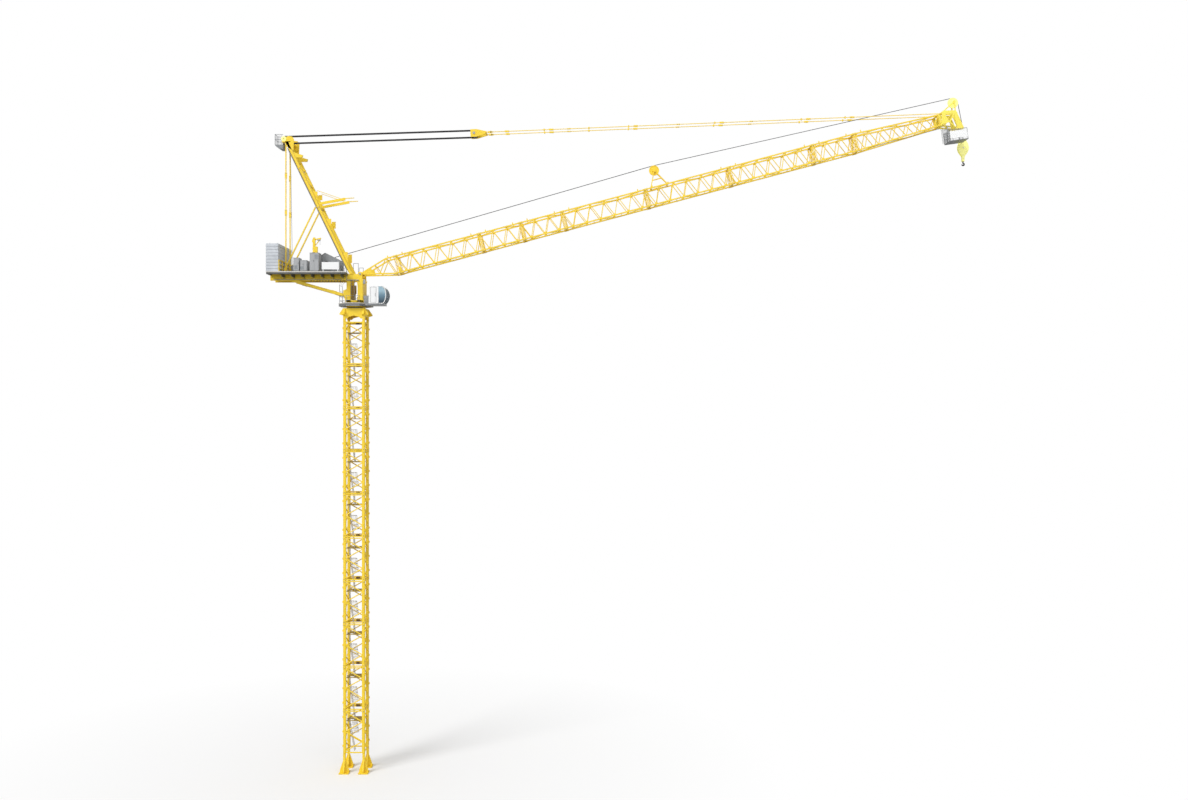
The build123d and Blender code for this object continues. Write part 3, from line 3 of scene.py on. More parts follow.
import bpy
import numpy as np
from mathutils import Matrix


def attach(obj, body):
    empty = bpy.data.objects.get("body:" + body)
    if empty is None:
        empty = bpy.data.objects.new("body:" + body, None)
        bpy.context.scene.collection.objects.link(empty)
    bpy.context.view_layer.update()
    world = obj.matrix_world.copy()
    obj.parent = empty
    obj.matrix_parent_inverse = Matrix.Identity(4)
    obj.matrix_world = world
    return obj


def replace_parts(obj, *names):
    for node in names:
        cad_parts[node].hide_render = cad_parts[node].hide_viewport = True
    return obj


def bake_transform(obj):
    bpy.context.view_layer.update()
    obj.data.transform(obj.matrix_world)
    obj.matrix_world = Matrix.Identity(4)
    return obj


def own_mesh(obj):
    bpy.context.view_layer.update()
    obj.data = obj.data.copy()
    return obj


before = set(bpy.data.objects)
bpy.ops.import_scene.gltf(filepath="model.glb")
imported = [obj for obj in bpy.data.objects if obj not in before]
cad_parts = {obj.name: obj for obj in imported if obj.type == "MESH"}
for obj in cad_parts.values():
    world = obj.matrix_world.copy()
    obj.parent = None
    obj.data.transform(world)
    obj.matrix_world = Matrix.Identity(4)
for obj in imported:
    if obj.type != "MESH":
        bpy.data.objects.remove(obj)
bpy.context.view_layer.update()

# The studio: a pale floor that fades to white behind the crane, a soft sun from the upper left, a broad
# fill lamp from the lower right and an even white sky, seen from about 13 m in front of the model, level
# with the middle of its mast.
scene = bpy.context.scene
scene.view_settings.view_transform = "Standard"


def place(name, data, where=(0, 0, 0), turn=(0, 0, 0)):
    """A new object in the scene, at a place and turned about X, Y and Z by these degrees."""
    made = bpy.data.objects.new(name, data)
    made.location = where
    made.rotation_euler = np.radians(turn)
    scene.collection.objects.link(made)
    return made


def sun(name, strength, spread, turn):
    """A distant lamp of this strength, spread over an angle and turned, both in degrees."""
    lamp = bpy.data.lights.new(name, "SUN")
    lamp.energy, lamp.angle = strength, math.radians(spread)
    place(name, lamp, turn=turn)


def plug(tree, socket, value):
    """Sets a socket to a value, or links it where the value is another node's socket."""
    if isinstance(value, bpy.types.NodeSocket):
        tree.links.new(value, socket)
    else:
        socket.default_value = value


def node(tree, kind, *plugs, **settings):
    """The outputs of a new shader node. Its settings are sockets, with an underscore for a space, or else
    properties, and the plugs go to its first sockets in their order."""
    made = tree.nodes.new("ShaderNode" + kind)
    for name, value in settings.items():
        socket = name.replace("_", " ")
        if socket in made.inputs:
            plug(tree, made.inputs[socket], value)
        else:
            setattr(made, name, value)
    for number, value in enumerate(plugs):
        plug(tree, made.inputs[number], value)
    return made.outputs


def rows(x, y, z):
    """Points as rows of x, y and z, from numbers and arrays that are stretched to one shape."""
    return np.stack(np.broadcast_arrays(x, y, z), -1).astype(float)


def full_turn(steps):
    """Angles once round in equal steps, from 0."""
    return 2 * np.pi * np.arange(steps) / steps


def skins(points, ends="capped", other_way=False):
    """Points and faces of shells, from an array of shells by rings by points by 3. Quads join each ring to
    the next. The ends are capped, open, or joined, the last ring to the first."""
    here = np.arange(points[..., 0].size).reshape(points.shape[:3])
    beside = np.roll(here, -1, 2)
    quads = np.stack([here, np.roll(here, -1, 1), np.roll(beside, -1, 1), beside], 3)
    quads = quads[..., [0, 3, 2, 1]] if other_way else quads
    faces = (quads if ends == "joined" else quads[:, :-1]).reshape(-1, 4).tolist()
    if ends == "capped":
        turned_back = -1 if other_way else 1
        faces += here[:, 0, ::turned_back].tolist() + here[:, -1, ::-turned_back].tolist()
    return points.reshape(-1, 3), faces


def shape_object(name, shape):
    """A new object at the origin from a shape: an array of points and lists of their numbers as faces."""
    mesh = bpy.data.meshes.new(name)
    mesh.from_pydata(shape[0], [], shape[1])
    return place(name, mesh)


film_width, photo_width, photo_focus = 36, 1188, 1097
eye = bpy.data.cameras.new("camera")
eye.lens, eye.clip_end = film_width * photo_focus / photo_width, 200
scene.camera = place("camera", eye, (2.777, -12.81, 4.317), (90, 0, 0))
sun("sun", 1.85, 24, (52, -6, -38))
sun("fill", 0.75, 60, (74, 0, 22))

white = (1, 1, 1, 1)
sky = bpy.data.worlds.new("studio")
scene.world = sky
sky.use_nodes = True
tree = sky.node_tree
tree.nodes.clear()
rays = node(tree, "LightPath")
seen = node(tree, "Math", rays["Is Camera Ray"], rays["Is Transmission Ray"], operation="MAXIMUM")[0]
lighting, backdrop = node(tree, "Background", white, 0.60)[0], node(tree, "Background", white, 1.0)[0]
node(tree, "OutputWorld", node(tree, "MixShader", seen, lighting, backdrop)[0])

floor_z, spokes = -0.0005, full_turn(48)
reach = 60 * np.linspace(0, 1, 25)[:, None] ** 2
disc = rows(reach * np.cos(spokes), reach * np.sin(spokes), floor_z)
floor = shape_object("floor", skins(disc[None], "open"))
paper = bpy.data.materials.new("floor_paper")
paper.use_nodes = True
tree = paper.node_tree
tree.nodes.clear()
eye_ray = node(tree, "LightPath")["Is Camera Ray"]
far = node(tree, "VectorMath", node(tree, "TexCoord")["Object"], operation="LENGTH")["Value"]
start = node(tree, "MapRange", far, From_Min=0.9, From_Max=5.0)[0]
share = node(tree, "Math", start, eye_ray, operation="MULTIPLY")[0]
dim, lit = [node(tree, "BsdfDiffuse", (grey, grey, grey, 1))[0] for grey in (0.42, 0.9)]
near = node(tree, "MixShader", eye_ray, dim, lit)[0]
node(tree, "OutputMaterial", node(tree, "MixShader", share, near, node(tree, "Emission", white, 1.0)[0])[0])
floor.data.materials.append(paper)

# Mast feet and the four lattice sides: hot-rolled steel angles and tubes, welded into 5 m sections that
# pin together, sprayed bright yellow. Rain and weather dull the paint in patches and in streaks.


def blank(name):
    """A new material, its node tree and its object coordinates."""
    made = bpy.data.materials.new(name)
    made.use_nodes = True
    return made, made.node_tree, node(made.node_tree, "TexCoord")["Object"]


def set_coat(tree, **settings):
    """Sets a material's surface, by its sockets' names with an underscore for a space."""
    for name, value in settings.items():
        plug(tree, tree.nodes["Principled BSDF"].inputs[name.replace("_", " ")], value)


def fade(tree, value, *stops):
    """A colour ramp along a value: each stop is a place from 0 to 1 and a colour."""
    ramp = tree.nodes.new("ShaderNodeValToRGB")
    ends = ramp.color_ramp.elements
    ends[0].position, ends[0].color = stops[0]
    ends[1].position, ends[1].color = stops[-1]
    for at, colour in stops[1:-1]:
        ends.new(at).color = colour
    plug(tree, ramp.inputs["Fac"], value)
    return ramp.outputs["Color"]


def painted_steel(name, colour, shade, gloss=0.42, wear=0.35, grain=60.0, metallic=0.0):
    """Sprayed steel: the colour drifts to its shade in broad patches and in streaks that run down, the
    gloss changes with them, and an orange-peel grain lifts the surface a little."""
    made, tree, where = blank(name)
    patch = node(tree, "TexNoise", where, Scale=3.1, Detail=5.0, Roughness=0.62)["Fac"]
    run = node(tree, "Mapping", where, Scale=(38.0, 38.0, 2.6))[0]
    streak = node(tree, "TexNoise", run, Scale=1.0, Detail=3.0, Roughness=0.55)["Fac"]
    half = node(tree, "Math", patch, 0.5, operation="MULTIPLY")[0]
    both = node(tree, "Math", streak, 0.5, half, operation="MULTIPLY_ADD")[0]
    peel = node(tree, "TexNoise", where, Scale=grain, Detail=2.0)["Fac"]
    set_coat(
        tree,
        Metallic=metallic,
        Roughness=node(tree, "MapRange", both, To_Min=gloss - 0.1, To_Max=gloss + 0.16)[0],
        Base_Color=fade(tree, both, (0.34, colour), (0.56, colour), (0.56 + wear * 0.5, shade)),
        Normal=node(tree, "Bump", Strength=0.12, Distance=0.002, Height=peel)[0],
    )
    return made


def dress(material, *names):
    """CAD pieces of these names take this material in place of their own."""
    for name in names:
        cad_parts[name].data.materials.clear()
        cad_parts[name].data.materials.append(material)


def add_piece(name, shape, material, body):
    """A new piece at the origin that rides on a body, unless its body is None, from an array of points and
    lists of their numbers as faces. Edges that turn by more than 35 degrees stay sharp."""
    piece = shape_object(name, shape)
    piece.data.shade_smooth()
    piece.data.set_sharp_from_angle(angle=math.radians(35))
    piece.data.materials.append(material)
    if body:
        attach(piece, body)
    return piece


def rounded(piece, width, steps=2):
    """Rounds a piece's sharp edges over this width."""
    bevel = piece.modifiers.new("rounded", "BEVEL")
    bevel.width, bevel.segments, bevel.limit_method = width, steps, "ANGLE"
    return piece


def grid(*lists):
    """Every combination of one value from each list, as rows; the last list's value changes quickest."""
    return np.stack(np.meshgrid(*lists, indexing="ij"), -1).reshape(-1, len(lists)).astype(float)


def round_bars(starts, ends, radius, sides=8):
    """Straight round bars, one for each start and end. A bar's skin at its end e and angle a is
    e + radius * (cos a * across + sin a * up), where across, up and the bar's own line are square to
    each other; both ends are closed. It gives the points and the faces."""
    starts, ends = np.atleast_2d(np.asarray(starts, float)), np.atleast_2d(np.asarray(ends, float))
    line = ends - starts
    line /= np.linalg.norm(line, axis=1, keepdims=True)
    other = np.where(np.abs(line[:, 2:]) > 0.9, [[1.0, 0.0, 0.0]], [[0.0, 0.0, 1.0]])
    across = np.cross(other, line)
    across /= np.linalg.norm(across, axis=1, keepdims=True)
    up = np.cross(line, across)
    turn = full_turn(sides)[:, None]
    ring = radius * (np.cos(turn) * across[:, None] + np.sin(turn) * up[:, None])
    return skins(np.stack([starts[:, None] + ring, ends[:, None] + ring], 1), other_way=True)


def blocks(lows, highs):
    """Square-edged blocks, one for each lowest and highest corner. Corner number i of a block takes its x, y
    and z from high or low by the three binary digits of i. It gives the points and the faces."""
    lows, highs = np.atleast_2d(np.asarray(lows, float)), np.atleast_2d(np.asarray(highs, float))
    digits = (np.arange(8)[:, None] >> np.arange(3)[None]) & 1
    corners = np.where(digits[None] == 1, highs[:, None], lows[:, None])
    sides = np.array([[0, 4, 6, 2], [1, 3, 7, 5], [0, 1, 5, 4], [2, 6, 7, 3], [0, 2, 3, 1], [4, 5, 7, 6]])
    faces = (8 * np.arange(len(lows))[:, None, None] + sides[None]).reshape(-1, 4)
    return corners.reshape(-1, 3), faces.tolist()


def lumps(middles, half):
    """Blocks round these middles, given half of their size."""
    return blocks(middles - np.asarray(half), middles + np.asarray(half))


def together(*parts):
    """Several lots of points and faces as one."""
    points, faces, count = [], [], 0
    for some, joins in parts:
        points.append(some)
        faces += [[count + number for number in face] for face in joins]
        count += len(some)
    return np.concatenate(points), faces


yellow = painted_steel("yellow_sprayed_steel", (0.93, 0.66, 0.035, 1), (0.74, 0.50, 0.03, 1))
dress(yellow, "mast_feet", "mast_head")
sections, section_tall, lacing_reach = 10, 0.5, 0.1
section_low = 0.23 + section_tall * np.arange(sections)
joint_z = section_low[1:]
lacing_z = (section_low[:, None] + 0.024 + 0.113 * np.arange(5)).ravel()
turns = np.arange(lacing_z.size)
brace_starts = turns[turns % 5 < 4]


def mast_side(face, towards, first_sign, band_half):
    """One lattice side of the mast: per section four round braces that zigzag from chord to chord, a flat
    bar over the section's foot, and under its joint a band of half height band_half. The side's middle is
    at face, and the zigzag turns at first_sign and minus first_sign times the reach along towards."""
    sign = first_sign * np.tile([1.0, -1, 1, -1, 1], sections)
    spots = np.outer(sign * lacing_reach, towards) + np.array(face)
    spots[:, 2] = lacing_z
    bars = rows(face[0], face[1], (section_low[:, None] + [0.008, 0.487]).ravel())
    flat = np.where(towards, lacing_reach, 0.0045)
    half = rows(flat[0], flat[1], np.tile([0.006, band_half], sections))
    braces = round_bars(spots[brace_starts], spots[brace_starts + 1], 0.0062)
    return together(braces, lumps(bars, half))


for name, face, towards, first_sign, band_half in (
    ("mast_front_side", (0, -0.1165, 0), (1, 0, 0), -1, 0.006),
    ("mast_back_side", (0, 0.1165, 0), (1, 0, 0), 1, 0.012),
    ("mast_left_side", (-0.1125, 0, 0), (0, 1, 0), 1, 0.008),
    ("mast_right_side", (0.1125, 0, 0), (0, 1, 0), -1, 0.008),
):
    lattice = add_piece(name + "_lattice", mast_side(face, towards, first_sign, band_half), yellow, "mast")
    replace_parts(lattice, name)
chord_sides = np.array([-0.1115, 0.1115])
chord_middles = grid((-0.1085, 0.1085), (-0.1085, 0.1085), section_low + section_tall / 2)
rounded(add_piece("mast_chords", lumps(chord_middles, (0.0165, 0.0165, 0.2495)), yellow, "mast"), 0.004)

# Section joints of the mast: each chord ends in a pair of machined shoes held by two steel pins, with small
# climbing lugs welded to the outer sides of the chords between them.
pin_grey, pin_shade = (0.42, 0.42, 0.40, 1), (0.25, 0.24, 0.22, 1)
pin_steel = painted_steel("zinc_plated_pins", pin_grey, pin_shade, gloss=0.38, metallic=0.85)


def pins(middles, half, radius, sides, way=(0, 1, 0)):
    """Round pins along Y, or another way, that reach half their length to each side of these middles."""
    reach = half * np.array(way)
    return round_bars(middles - reach, middles + reach, radius, sides)


shoe = grid(chord_sides, chord_sides, joint_z)
rounded(add_piece("mast_joint_shoes", lumps(shoe, (0.0152, 0.0152, 0.03)), yellow, "mast"), 0.002)
pin_at = np.concatenate([shoe - [0, 0, 0.016], shoe + [0, 0, 0.016]])
joint_pins = together(pins(pin_at, 0.0185, 0.0048, 10), pins(pin_at, 0.0185, 0.0036, 8, (1, 0, 0)))
add_piece("mast_joint_pins", joint_pins, pin_steel, "mast")
climbing_lug = grid((-0.129, 0.129), chord_sides, np.arange(0.315, 5.2, 1 / 6))
climbing_lugs = lumps(climbing_lug, (0.0055, 0.008, 0.012))
rounded(add_piece("mast_climbing_lugs", climbing_lugs, yellow, "mast"), 0.003)

# Ladders inside the mast with hooped cages: galvanised strip and tube, one flight from landing to landing,
# each leaning towards the hatch above it.


def galvanised_steel(name, bright, dull):
    """Hot-dip zinc: flat crystals of different greys, each a cell of a Voronoi pattern, dulled by cloudy
    patches, with a slight bump at the cells' edges."""
    made, tree, where = blank(name)
    crystal = node(tree, "TexVoronoi", where, Scale=70.0)
    cloud = node(tree, "TexNoise", where, Scale=6.0, Detail=5.0, Roughness=0.6)["Fac"]
    half = node(tree, "Math", cloud, 0.6, operation="MULTIPLY")[0]
    greys = node(tree, "Math", crystal["Color"], 0.45, half, operation="MULTIPLY_ADD")[0]
    set_coat(
        tree,
        Metallic=0.35,
        Roughness=node(tree, "MapRange", greys, To_Min=0.36, To_Max=0.62)[0],
        Base_Color=fade(tree, greys, (0.2, dull), (0.8, bright)),
        Normal=node(tree, "Bump", Strength=0.15, Distance=0.001, Height=crystal["Distance"])[0],
    )
    return made


def bent_bars(paths, normal, radius, sides=8):
    """Round bars that bend in planes square to one normal, one for each path of points. A bar's skin at
    path point p and angle a is p + radius * (cos a * (normal x tangent) + sin a * normal), and its ends
    are closed."""
    paths, normal = np.asarray(paths, float), np.asarray(normal, float)
    tangent = np.gradient(paths, axis=1)
    tangent /= np.linalg.norm(tangent, axis=2, keepdims=True)
    turn = full_turn(sides)[:, None]
    ring = np.cos(turn) * np.cross(normal, tangent)[:, :, None] + np.sin(turn) * normal
    return skins(paths[:, :, None] + radius * ring, other_way=True)


def ladder(feet, tops, shares, stile, rung, stile_sides=6):
    """A ladder: a round stile from each of two feet to its top, and rungs at these shares of the way up."""
    steps = feet[:, None] + np.asarray(shares)[:, None] * (tops - feet)[:, None]
    return together(round_bars(feet, tops, stile, stile_sides), round_bars(steps[0], steps[1], rung, 6))


zinc = galvanised_steel("galvanised_steel", (0.34, 0.355, 0.365, 1), (0.22, 0.23, 0.24, 1))
ladder_zinc = galvanised_steel("bright_ladder_zinc", (0.66, 0.64, 0.60, 1), (0.48, 0.47, 0.44, 1))
landing_z = joint_z - 0.13
flight_low, flight_high = np.append(0.236, landing_z), np.append(landing_z, 5.1)
foot_x, head_x, stile_y, flight_shares = -0.008, -0.078, (-0.046, 0.002), np.linspace(0.04, 0.97, 16)
flights = together(*[
    ladder(rows(foot_x, stile_y, low), rows(head_x, stile_y, high), flight_shares, 0.0042, 0.0018)
    for low, high in zip(flight_low, flight_high)
])
flight_piece = add_piece("mast_ladder_flights", flights, ladder_zinc, "mast")
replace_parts(flight_piece, "mast_ladders")
hoop_lift = np.array([0.215, 0.262, 0.309, 0.371])[:, None]
hoop_x = foot_x + hoop_lift / 0.498 * (head_x - foot_x)
bend = np.linspace(0, np.pi, 13)
one_cage = rows(hoop_x + 0.074 * np.sin(bend) ** 0.7, -0.022 + 0.031 * np.cos(bend), hoop_lift)
hoops = one_cage + flight_low[:, None, None, None] * [0, 0, 1]
straps = hoops[:, :, [1, 3, 6, 9, 11]]
cages = together(
    bent_bars(hoops.reshape(-1, 13, 3), (0, 0, 1), 0.0026, 6),
    round_bars(straps[:, :-1].reshape(-1, 3), straps[:, 1:].reshape(-1, 3), 0.002, 6),
)
add_piece("mast_ladder_cages", cages, ladder_zinc, "mast")

# Landings under every joint: welded floors in the mast's yellow, dulled to ochre as painted shade, a fixed
# brown service box on the far side of each joint and a handrail round the hatch.


def posts(feet, tall, radius, sides=6):
    """Upright round bars of one height on these feet."""
    return round_bars(feet, feet + [0, 0, tall], radius, sides)


def railing(feet, tall, post, lifts, rail, sides=6):
    """Posts in a row, joined by a rail at each lift above their feet."""
    rails = [round_bars(feet[:-1] + [0, 0, lift], feet[1:] + [0, 0, lift], rail, sides) for lift in lifts]
    return together(posts(feet, tall, post, sides), *rails)


# The landings' dark ochre is painted shade on the mast's yellow.
landing_ochre_painted_shade = painted_steel(
    "landing_yellow_painted_shade", (0.38, 0.27, 0.045, 1), (0.22, 0.16, 0.05, 1), gloss=0.55, wear=0.2
)
dress(landing_ochre_painted_shade, "mast_landings")
brown = painted_steel("brown_primer", (0.16, 0.09, 0.03, 1), (0.10, 0.06, 0.03, 1), gloss=0.5)
service_boxes = lumps(rows(0.0, 0.0975, np.append(joint_z, 5.222) - 0.005), (0.021, 0.006, 0.013))
rounded(add_piece("mast_service_boxes", service_boxes, brown, "mast"), 0.002)
top_landing = blocks((-0.0975, -0.0975, 5.094), (0.0975, 0.0975, 5.1))
add_piece("mast_top_landing", top_landing, landing_ochre_painted_shade, "mast")
hatch_rails = together(*[
    railing(rows((-0.082, -0.012), -0.01, z), 0.11, 0.0016, (0.055, 0.11), 0.0014) for z in landing_z
])
add_piece("mast_hatch_rails", hatch_rails, zinc, "mast")

# Slewing ring: a geared roller bearing of forged steel between the mast head and the turntable. Its outer
# race is cut with 90 teeth that the slewing pinions drive.
ring_steel = painted_steel(
    "oiled_ring_steel", (0.10, 0.10, 0.11, 1), (0.05, 0.05, 0.05, 1), gloss=0.36, metallic=0.6
)


def turned(radii, levels, centre, axis="y", steps=48, first=0.0):
    """Rings turned round an axis through a centre. The skin at profile point (r, h) and angle a stands r away
    from the axis and h along it. The profile is a closed loop that keeps the solid on its left, and a radius
    may differ from angle to angle, as at a gear's teeth."""
    turn = first + full_turn(steps)
    along = np.asarray(levels, float)[:, None]
    reach = np.asarray(radii, float).reshape(len(along), -1)
    if axis == "y":
        points = rows(reach * np.cos(turn), along, reach * np.sin(turn))
    else:
        points = rows(reach * np.sin(turn), reach * np.cos(turn), along)
    return skins((points + np.array(centre))[None], "joined")


tooth, race = np.where(np.arange(360) % 4 < 2, 0.105, 0.1015), np.full(360, 0.078)
gear = turned([race, tooth, tooth, race], [0, 0, 0.012, 0.012], (0, 0, 5.38), "z", 360)
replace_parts(add_piece("slewing_ring_gear", gear, ring_steel, "mast"), "slewing_ring")
dress(yellow, "turntable")

# Walkway round the slewing tower: galvanised open-mesh grating in an eight-sided frame, with tube rails on
# posts round its rear and a taller cage where the ladder from the counter-jib comes down.


def grating(name, bright, dark, pitch):
    """Open-mesh steel: two square waves along x and y leave thin bright bars round dark holes of painted
    shade.
    """
    made = galvanised_steel(name, bright, tuple(0.7 * value for value in bright[:3]) + (1,))
    tree = made.node_tree
    base = tree.nodes["Principled BSDF"].inputs["Base Color"].links[0].from_socket
    cut = node(tree, "SeparateXYZ", node(tree, "TexCoord")["Object"])
    waves = [node(tree, "Math", cut[side], pitch / 2, operation="PINGPONG")[0] for side in "XY"]
    bars = [node(tree, "Math", wave, pitch * 0.16, operation="LESS_THAN")[0] for wave in waves]
    mixed = tree.nodes.new("ShaderNodeMix")
    mixed.data_type = "RGBA"
    share, first_colour, second_colour, mixed_colour = 0, 6, 7, 2
    plug(tree, mixed.inputs[share], node(tree, "Math", *bars, operation="MAXIMUM")[0])
    plug(tree, mixed.inputs[first_colour], dark)
    plug(tree, mixed.inputs[second_colour], base)
    set_coat(tree, Base_Color=mixed.outputs[mixed_colour])
    return made


open_mesh = grating("open_mesh_grating", (0.46, 0.48, 0.49, 1), (0.10, 0.105, 0.11, 1), 0.011)
dress(open_mesh, "slewing_walkway")
walk_z = 5.4105
post_turn = np.radians(67.5 + 45 * np.arange(6))
post_feet = rows(0.192 * np.cos(post_turn), 0.192 * np.sin(post_turn), walk_z)
cage_x, cage_y, cage_bend = -0.1774, 0.0735, np.linspace(0, 1, 9)
cage_bows = rows(
    cage_x + 0.048 * cage_bend**1.6,
    np.array([-cage_y, 0, cage_y])[:, None],
    5.6495 + 0.052 * np.sin(cage_bend * np.pi / 2),
)
walk_rails = together(
    railing(post_feet, 0.11, 0.0026, (0.0575, 0.1075), 0.0022, 8),
    railing(rows(cage_x, (-cage_y, cage_y), walk_z), 0.239, 0.0026, (0.169, 0.236), 0.002, 8),
    bent_bars(cage_bows, (0, 1, 0), 0.0014, 6),
)
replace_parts(add_piece("walkway_handrails", walk_rails, zinc, "upperworks"), "walkway_rails")
toe_levels = [walk_z, walk_z, 5.428, 5.428]
rim_turn = math.radians(22.5) + full_turn(8)
toe_board = turned([0.1985, 0.2005, 0.2005, 0.1985], toe_levels, (0, 0, 0), "z", 8, math.radians(22.5))
rim_corner = rows(0.2 * np.cos(rim_turn), 0.2 * np.sin(rim_turn), 5.4335)
toe_angle = round_bars(rim_corner, np.roll(rim_corner, -1, 0), 0.0055)
# The toe board is dark grey as painted shade under the walkway's edge.
toe_board_painted_shade_grey = painted_steel("toe_board_painted_shade", (0.17, 0.175, 0.18, 1), (0.12, 0.125, 0.13, 1), gloss=0.45)
add_piece("walkway_toe_board", toe_board, toe_board_painted_shade_grey, "upperworks")
add_piece("walkway_toe_angle", toe_angle, ladder_zinc, "upperworks")

# Slewing tower: four welded box columns on a base frame, carrying the beams that the jib and the A-frame
# are pinned to, with a plate wall under the jib, stiffening ribs, a ladder, a small landing and handrails.


def both_sides(low, high):
    """A block given on the +Y side, and its mirror image on the -Y side."""
    low, high = np.array(low, float), np.array(high, float)
    mirrored = np.sort(np.stack([low * [1, -1, 1], high * [1, -1, 1]]), 0)
    return blocks([low, mirrored[0]], [high, mirrored[1]])


def at_y(places, y):
    """Places given as X and Z, set at y, as rows of x, y and z."""
    places = np.asarray(places, float)
    return rows(places[..., 0], y, places[..., 1])


def plates(outline, low, high):
    """Flat plates of one outline in X and Z between two Y values: the outline's points at both, a face for
    each edge and one at each end. The outline goes anticlockwise as seen from -Y."""
    between = np.stack([np.atleast_1d(low), np.atleast_1d(high)], 1)
    return skins(at_y(np.asarray(outline, float)[None, None], between[:, :, None]))


def plate_pair(outline, inner, outer):
    """Two flat plates of one outline, this far from the middle plane on both of its sides."""
    return plates(outline, [-outer, inner], [-inner, outer])


def circle(centre, radius, turn, y=0.0):
    """Points round a centre in X and Z at these angles from X towards Z, set at y."""
    return rows(centre[0] + radius * np.cos(turn), y, centre[1] + radius * np.sin(turn))


def chain(points, radius, sides=8):
    """Straight round bars from each point to the next."""
    return round_bars(points[:-1], points[1:], radius, sides)


def pin_heads(middle, inner, outer, radius, sides):
    """Two round bars along Y through a place in X and Z, this far from the middle plane on both sides."""
    return round_bars(at_y(middle, (-inner, inner)), at_y(middle, (-outer, outer)), radius, sides)


machine_grey = painted_steel("machine_grey_enamel", (0.36, 0.38, 0.40, 1), (0.24, 0.25, 0.26, 1), gloss=0.34)
jib_pivot, column_foot = np.array([0.068, 5.777]), 5.4525
eye_arch = circle(jib_pivot, 0.0255, np.linspace(0, np.pi, 17))[:, ::2]
eye_outline = np.concatenate([[(0.0425, 5.705), (0.0985, 5.705)], eye_arch])
front_column = [
    (0.030, column_foot), (0.107, column_foot), (0.107, 5.475), (0.100, 5.50), (0.100, 5.69), (0.109, 5.71),
    (0.02, 5.71), (0.034, 5.68), (0.040, 5.64), (0.040, 5.50),
]
rear_column = [
    (-0.095, column_foot), (-0.030, column_foot), (-0.043, 5.475), (-0.043, 5.69), (-0.035, 5.705),
    (-0.088, 5.705), (-0.088, 5.60), (-0.127, 5.585), (-0.127, 5.535),
]
column_inner, column_outer, beam_top = 0.085, 0.113, 5.775
tower = together(
    plate_pair(front_column, column_inner, column_outer),
    plate_pair(rear_column, column_inner, column_outer),
    plate_pair(eye_outline, 0.103, 0.114),
    both_sides((-0.131, column_inner, 5.7045), (0.045, column_outer, beam_top)),
    both_sides((-0.103, 0.07, column_foot), (0.111, column_outer, 5.475)),
    blocks((0.092, -0.086, 5.475), (0.0995, 0.086, 5.70)),
    blocks((-0.131, -0.086, 5.712), (-0.121, 0.086, beam_top)),
    blocks((-0.098, -0.071, column_foot), (-0.078, 0.071, 5.47)),
    blocks((0.088, -0.071, column_foot), (0.106, 0.071, 5.47)),
)
tower_piece = rounded(add_piece("slewing_tower_frame", tower, yellow, "upperworks"), 0.0025)
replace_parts(tower_piece, "slewing_tower")
rib_middles = grid([-0.064], (-0.1145, 0.1145), np.arange(5.505, 5.68, 0.0175))
add_piece("tower_column_ribs", lumps(rib_middles, (0.018, 0.002, 0.0025)), yellow, "upperworks")
# The slip-ring column is coloured ochre brown as painted shade inside the tower.
slip_radii = [0.001, 0.028, 0.028, 0.02, 0.02, 0.029, 0.029, 0.001]
slip_levels = [column_foot, column_foot, 5.468, 5.474, 5.552, 5.556, 5.652, 5.652]
slip_rings = turned(slip_radii, slip_levels, (-0.0255, 0, 0), "z", 24)
shaded_brown = painted_steel("ochre_brown_painted_shade_housing", (0.40, 0.27, 0.06, 1), (0.24, 0.16, 0.05, 1), gloss=0.5)
add_piece("slip_ring_column", slip_rings, shaded_brown, "upperworks")
stile_feet = rows((-0.036, 0.0), -0.098, column_foot)
tower_ladder = ladder(stile_feet, stile_feet + [0, 0, 0.25], 0.07 + 0.112 * np.arange(9), 0.0024, 0.0015, 8)
add_piece("tower_ladder", tower_ladder, zinc, "upperworks")
landing = blocks((-0.086, -0.128, 5.7), (0.055, -0.1135, 5.709))
add_piece("tower_top_landing", landing, zinc, "upperworks")
junction_box = blocks((0.1, -0.108, 5.664), (0.124, -0.068, 5.714))
rounded(add_piece("tower_junction_box", junction_box, machine_grey, "upperworks"), 0.002)
top_hoops = together(*[
    chain(at_y(hoop, 0.109), 0.0026)
    for hoop in (
        [(-0.055, 5.776), (-0.055, 5.925), (0.002, 5.925), (0.002, 5.776)],
        [(0.012, 5.776), (0.012, 5.872), (0.06, 5.872), (0.06, 5.81)],
    )
])
add_piece("tower_top_handrail", top_hoops, zinc, "upperworks")
pivot_caps = together(
    pin_heads(jib_pivot, 0.1135, 0.121, 0.0125, 16), pin_heads(jib_pivot, 0.121, 0.1235, 0.006, 6)
)
add_piece("jib_pivot_pins", pivot_caps, pin_steel, "upperworks")

# Slewing gear: three electric motors on planetary gearboxes, painted machine grey, each motor ringed by
# cooling fins and covered by a fan cowl.


def fins(count, first, pitch, thick, rim, root):
    """Radii and levels of cooling fins: in each pitch the profile runs out at the rim for a fin's thickness
    and then at the root."""
    levels = first + pitch * np.arange(count)[:, None] + [0, thick, thick, pitch]
    return np.tile([rim, rim, root, root], count), levels.ravel()


fin_radii, fin_levels = fins(14, 5.517, 0.0055, 0.0028, 0.0185, 0.0165)
case_radii = [0.001, 0.026, 0.026, 0.0225, 0.0225]
case_levels = [column_foot, column_foot, 5.507, 5.5125, 5.517]
cowl_radii, cowl_levels = [0.0175, 0.0175, 0.012, 0.001], [5.594, 5.6, 5.6025, 5.6025]
gear_radii = np.concatenate([case_radii, fin_radii, cowl_radii])
gear_levels = np.concatenate([case_levels, fin_levels, cowl_levels])
gear_motors = together(*[
    turned(gear_radii, gear_levels, (x, y, 0), "z", 20)
    for x, y in ((-0.084, 0), (0.045, -0.04), (0.045, 0.04))
])
gear_piece = add_piece("slewing_motors", gear_motors, machine_grey, "upperworks")
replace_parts(gear_piece, "slewing_gear")

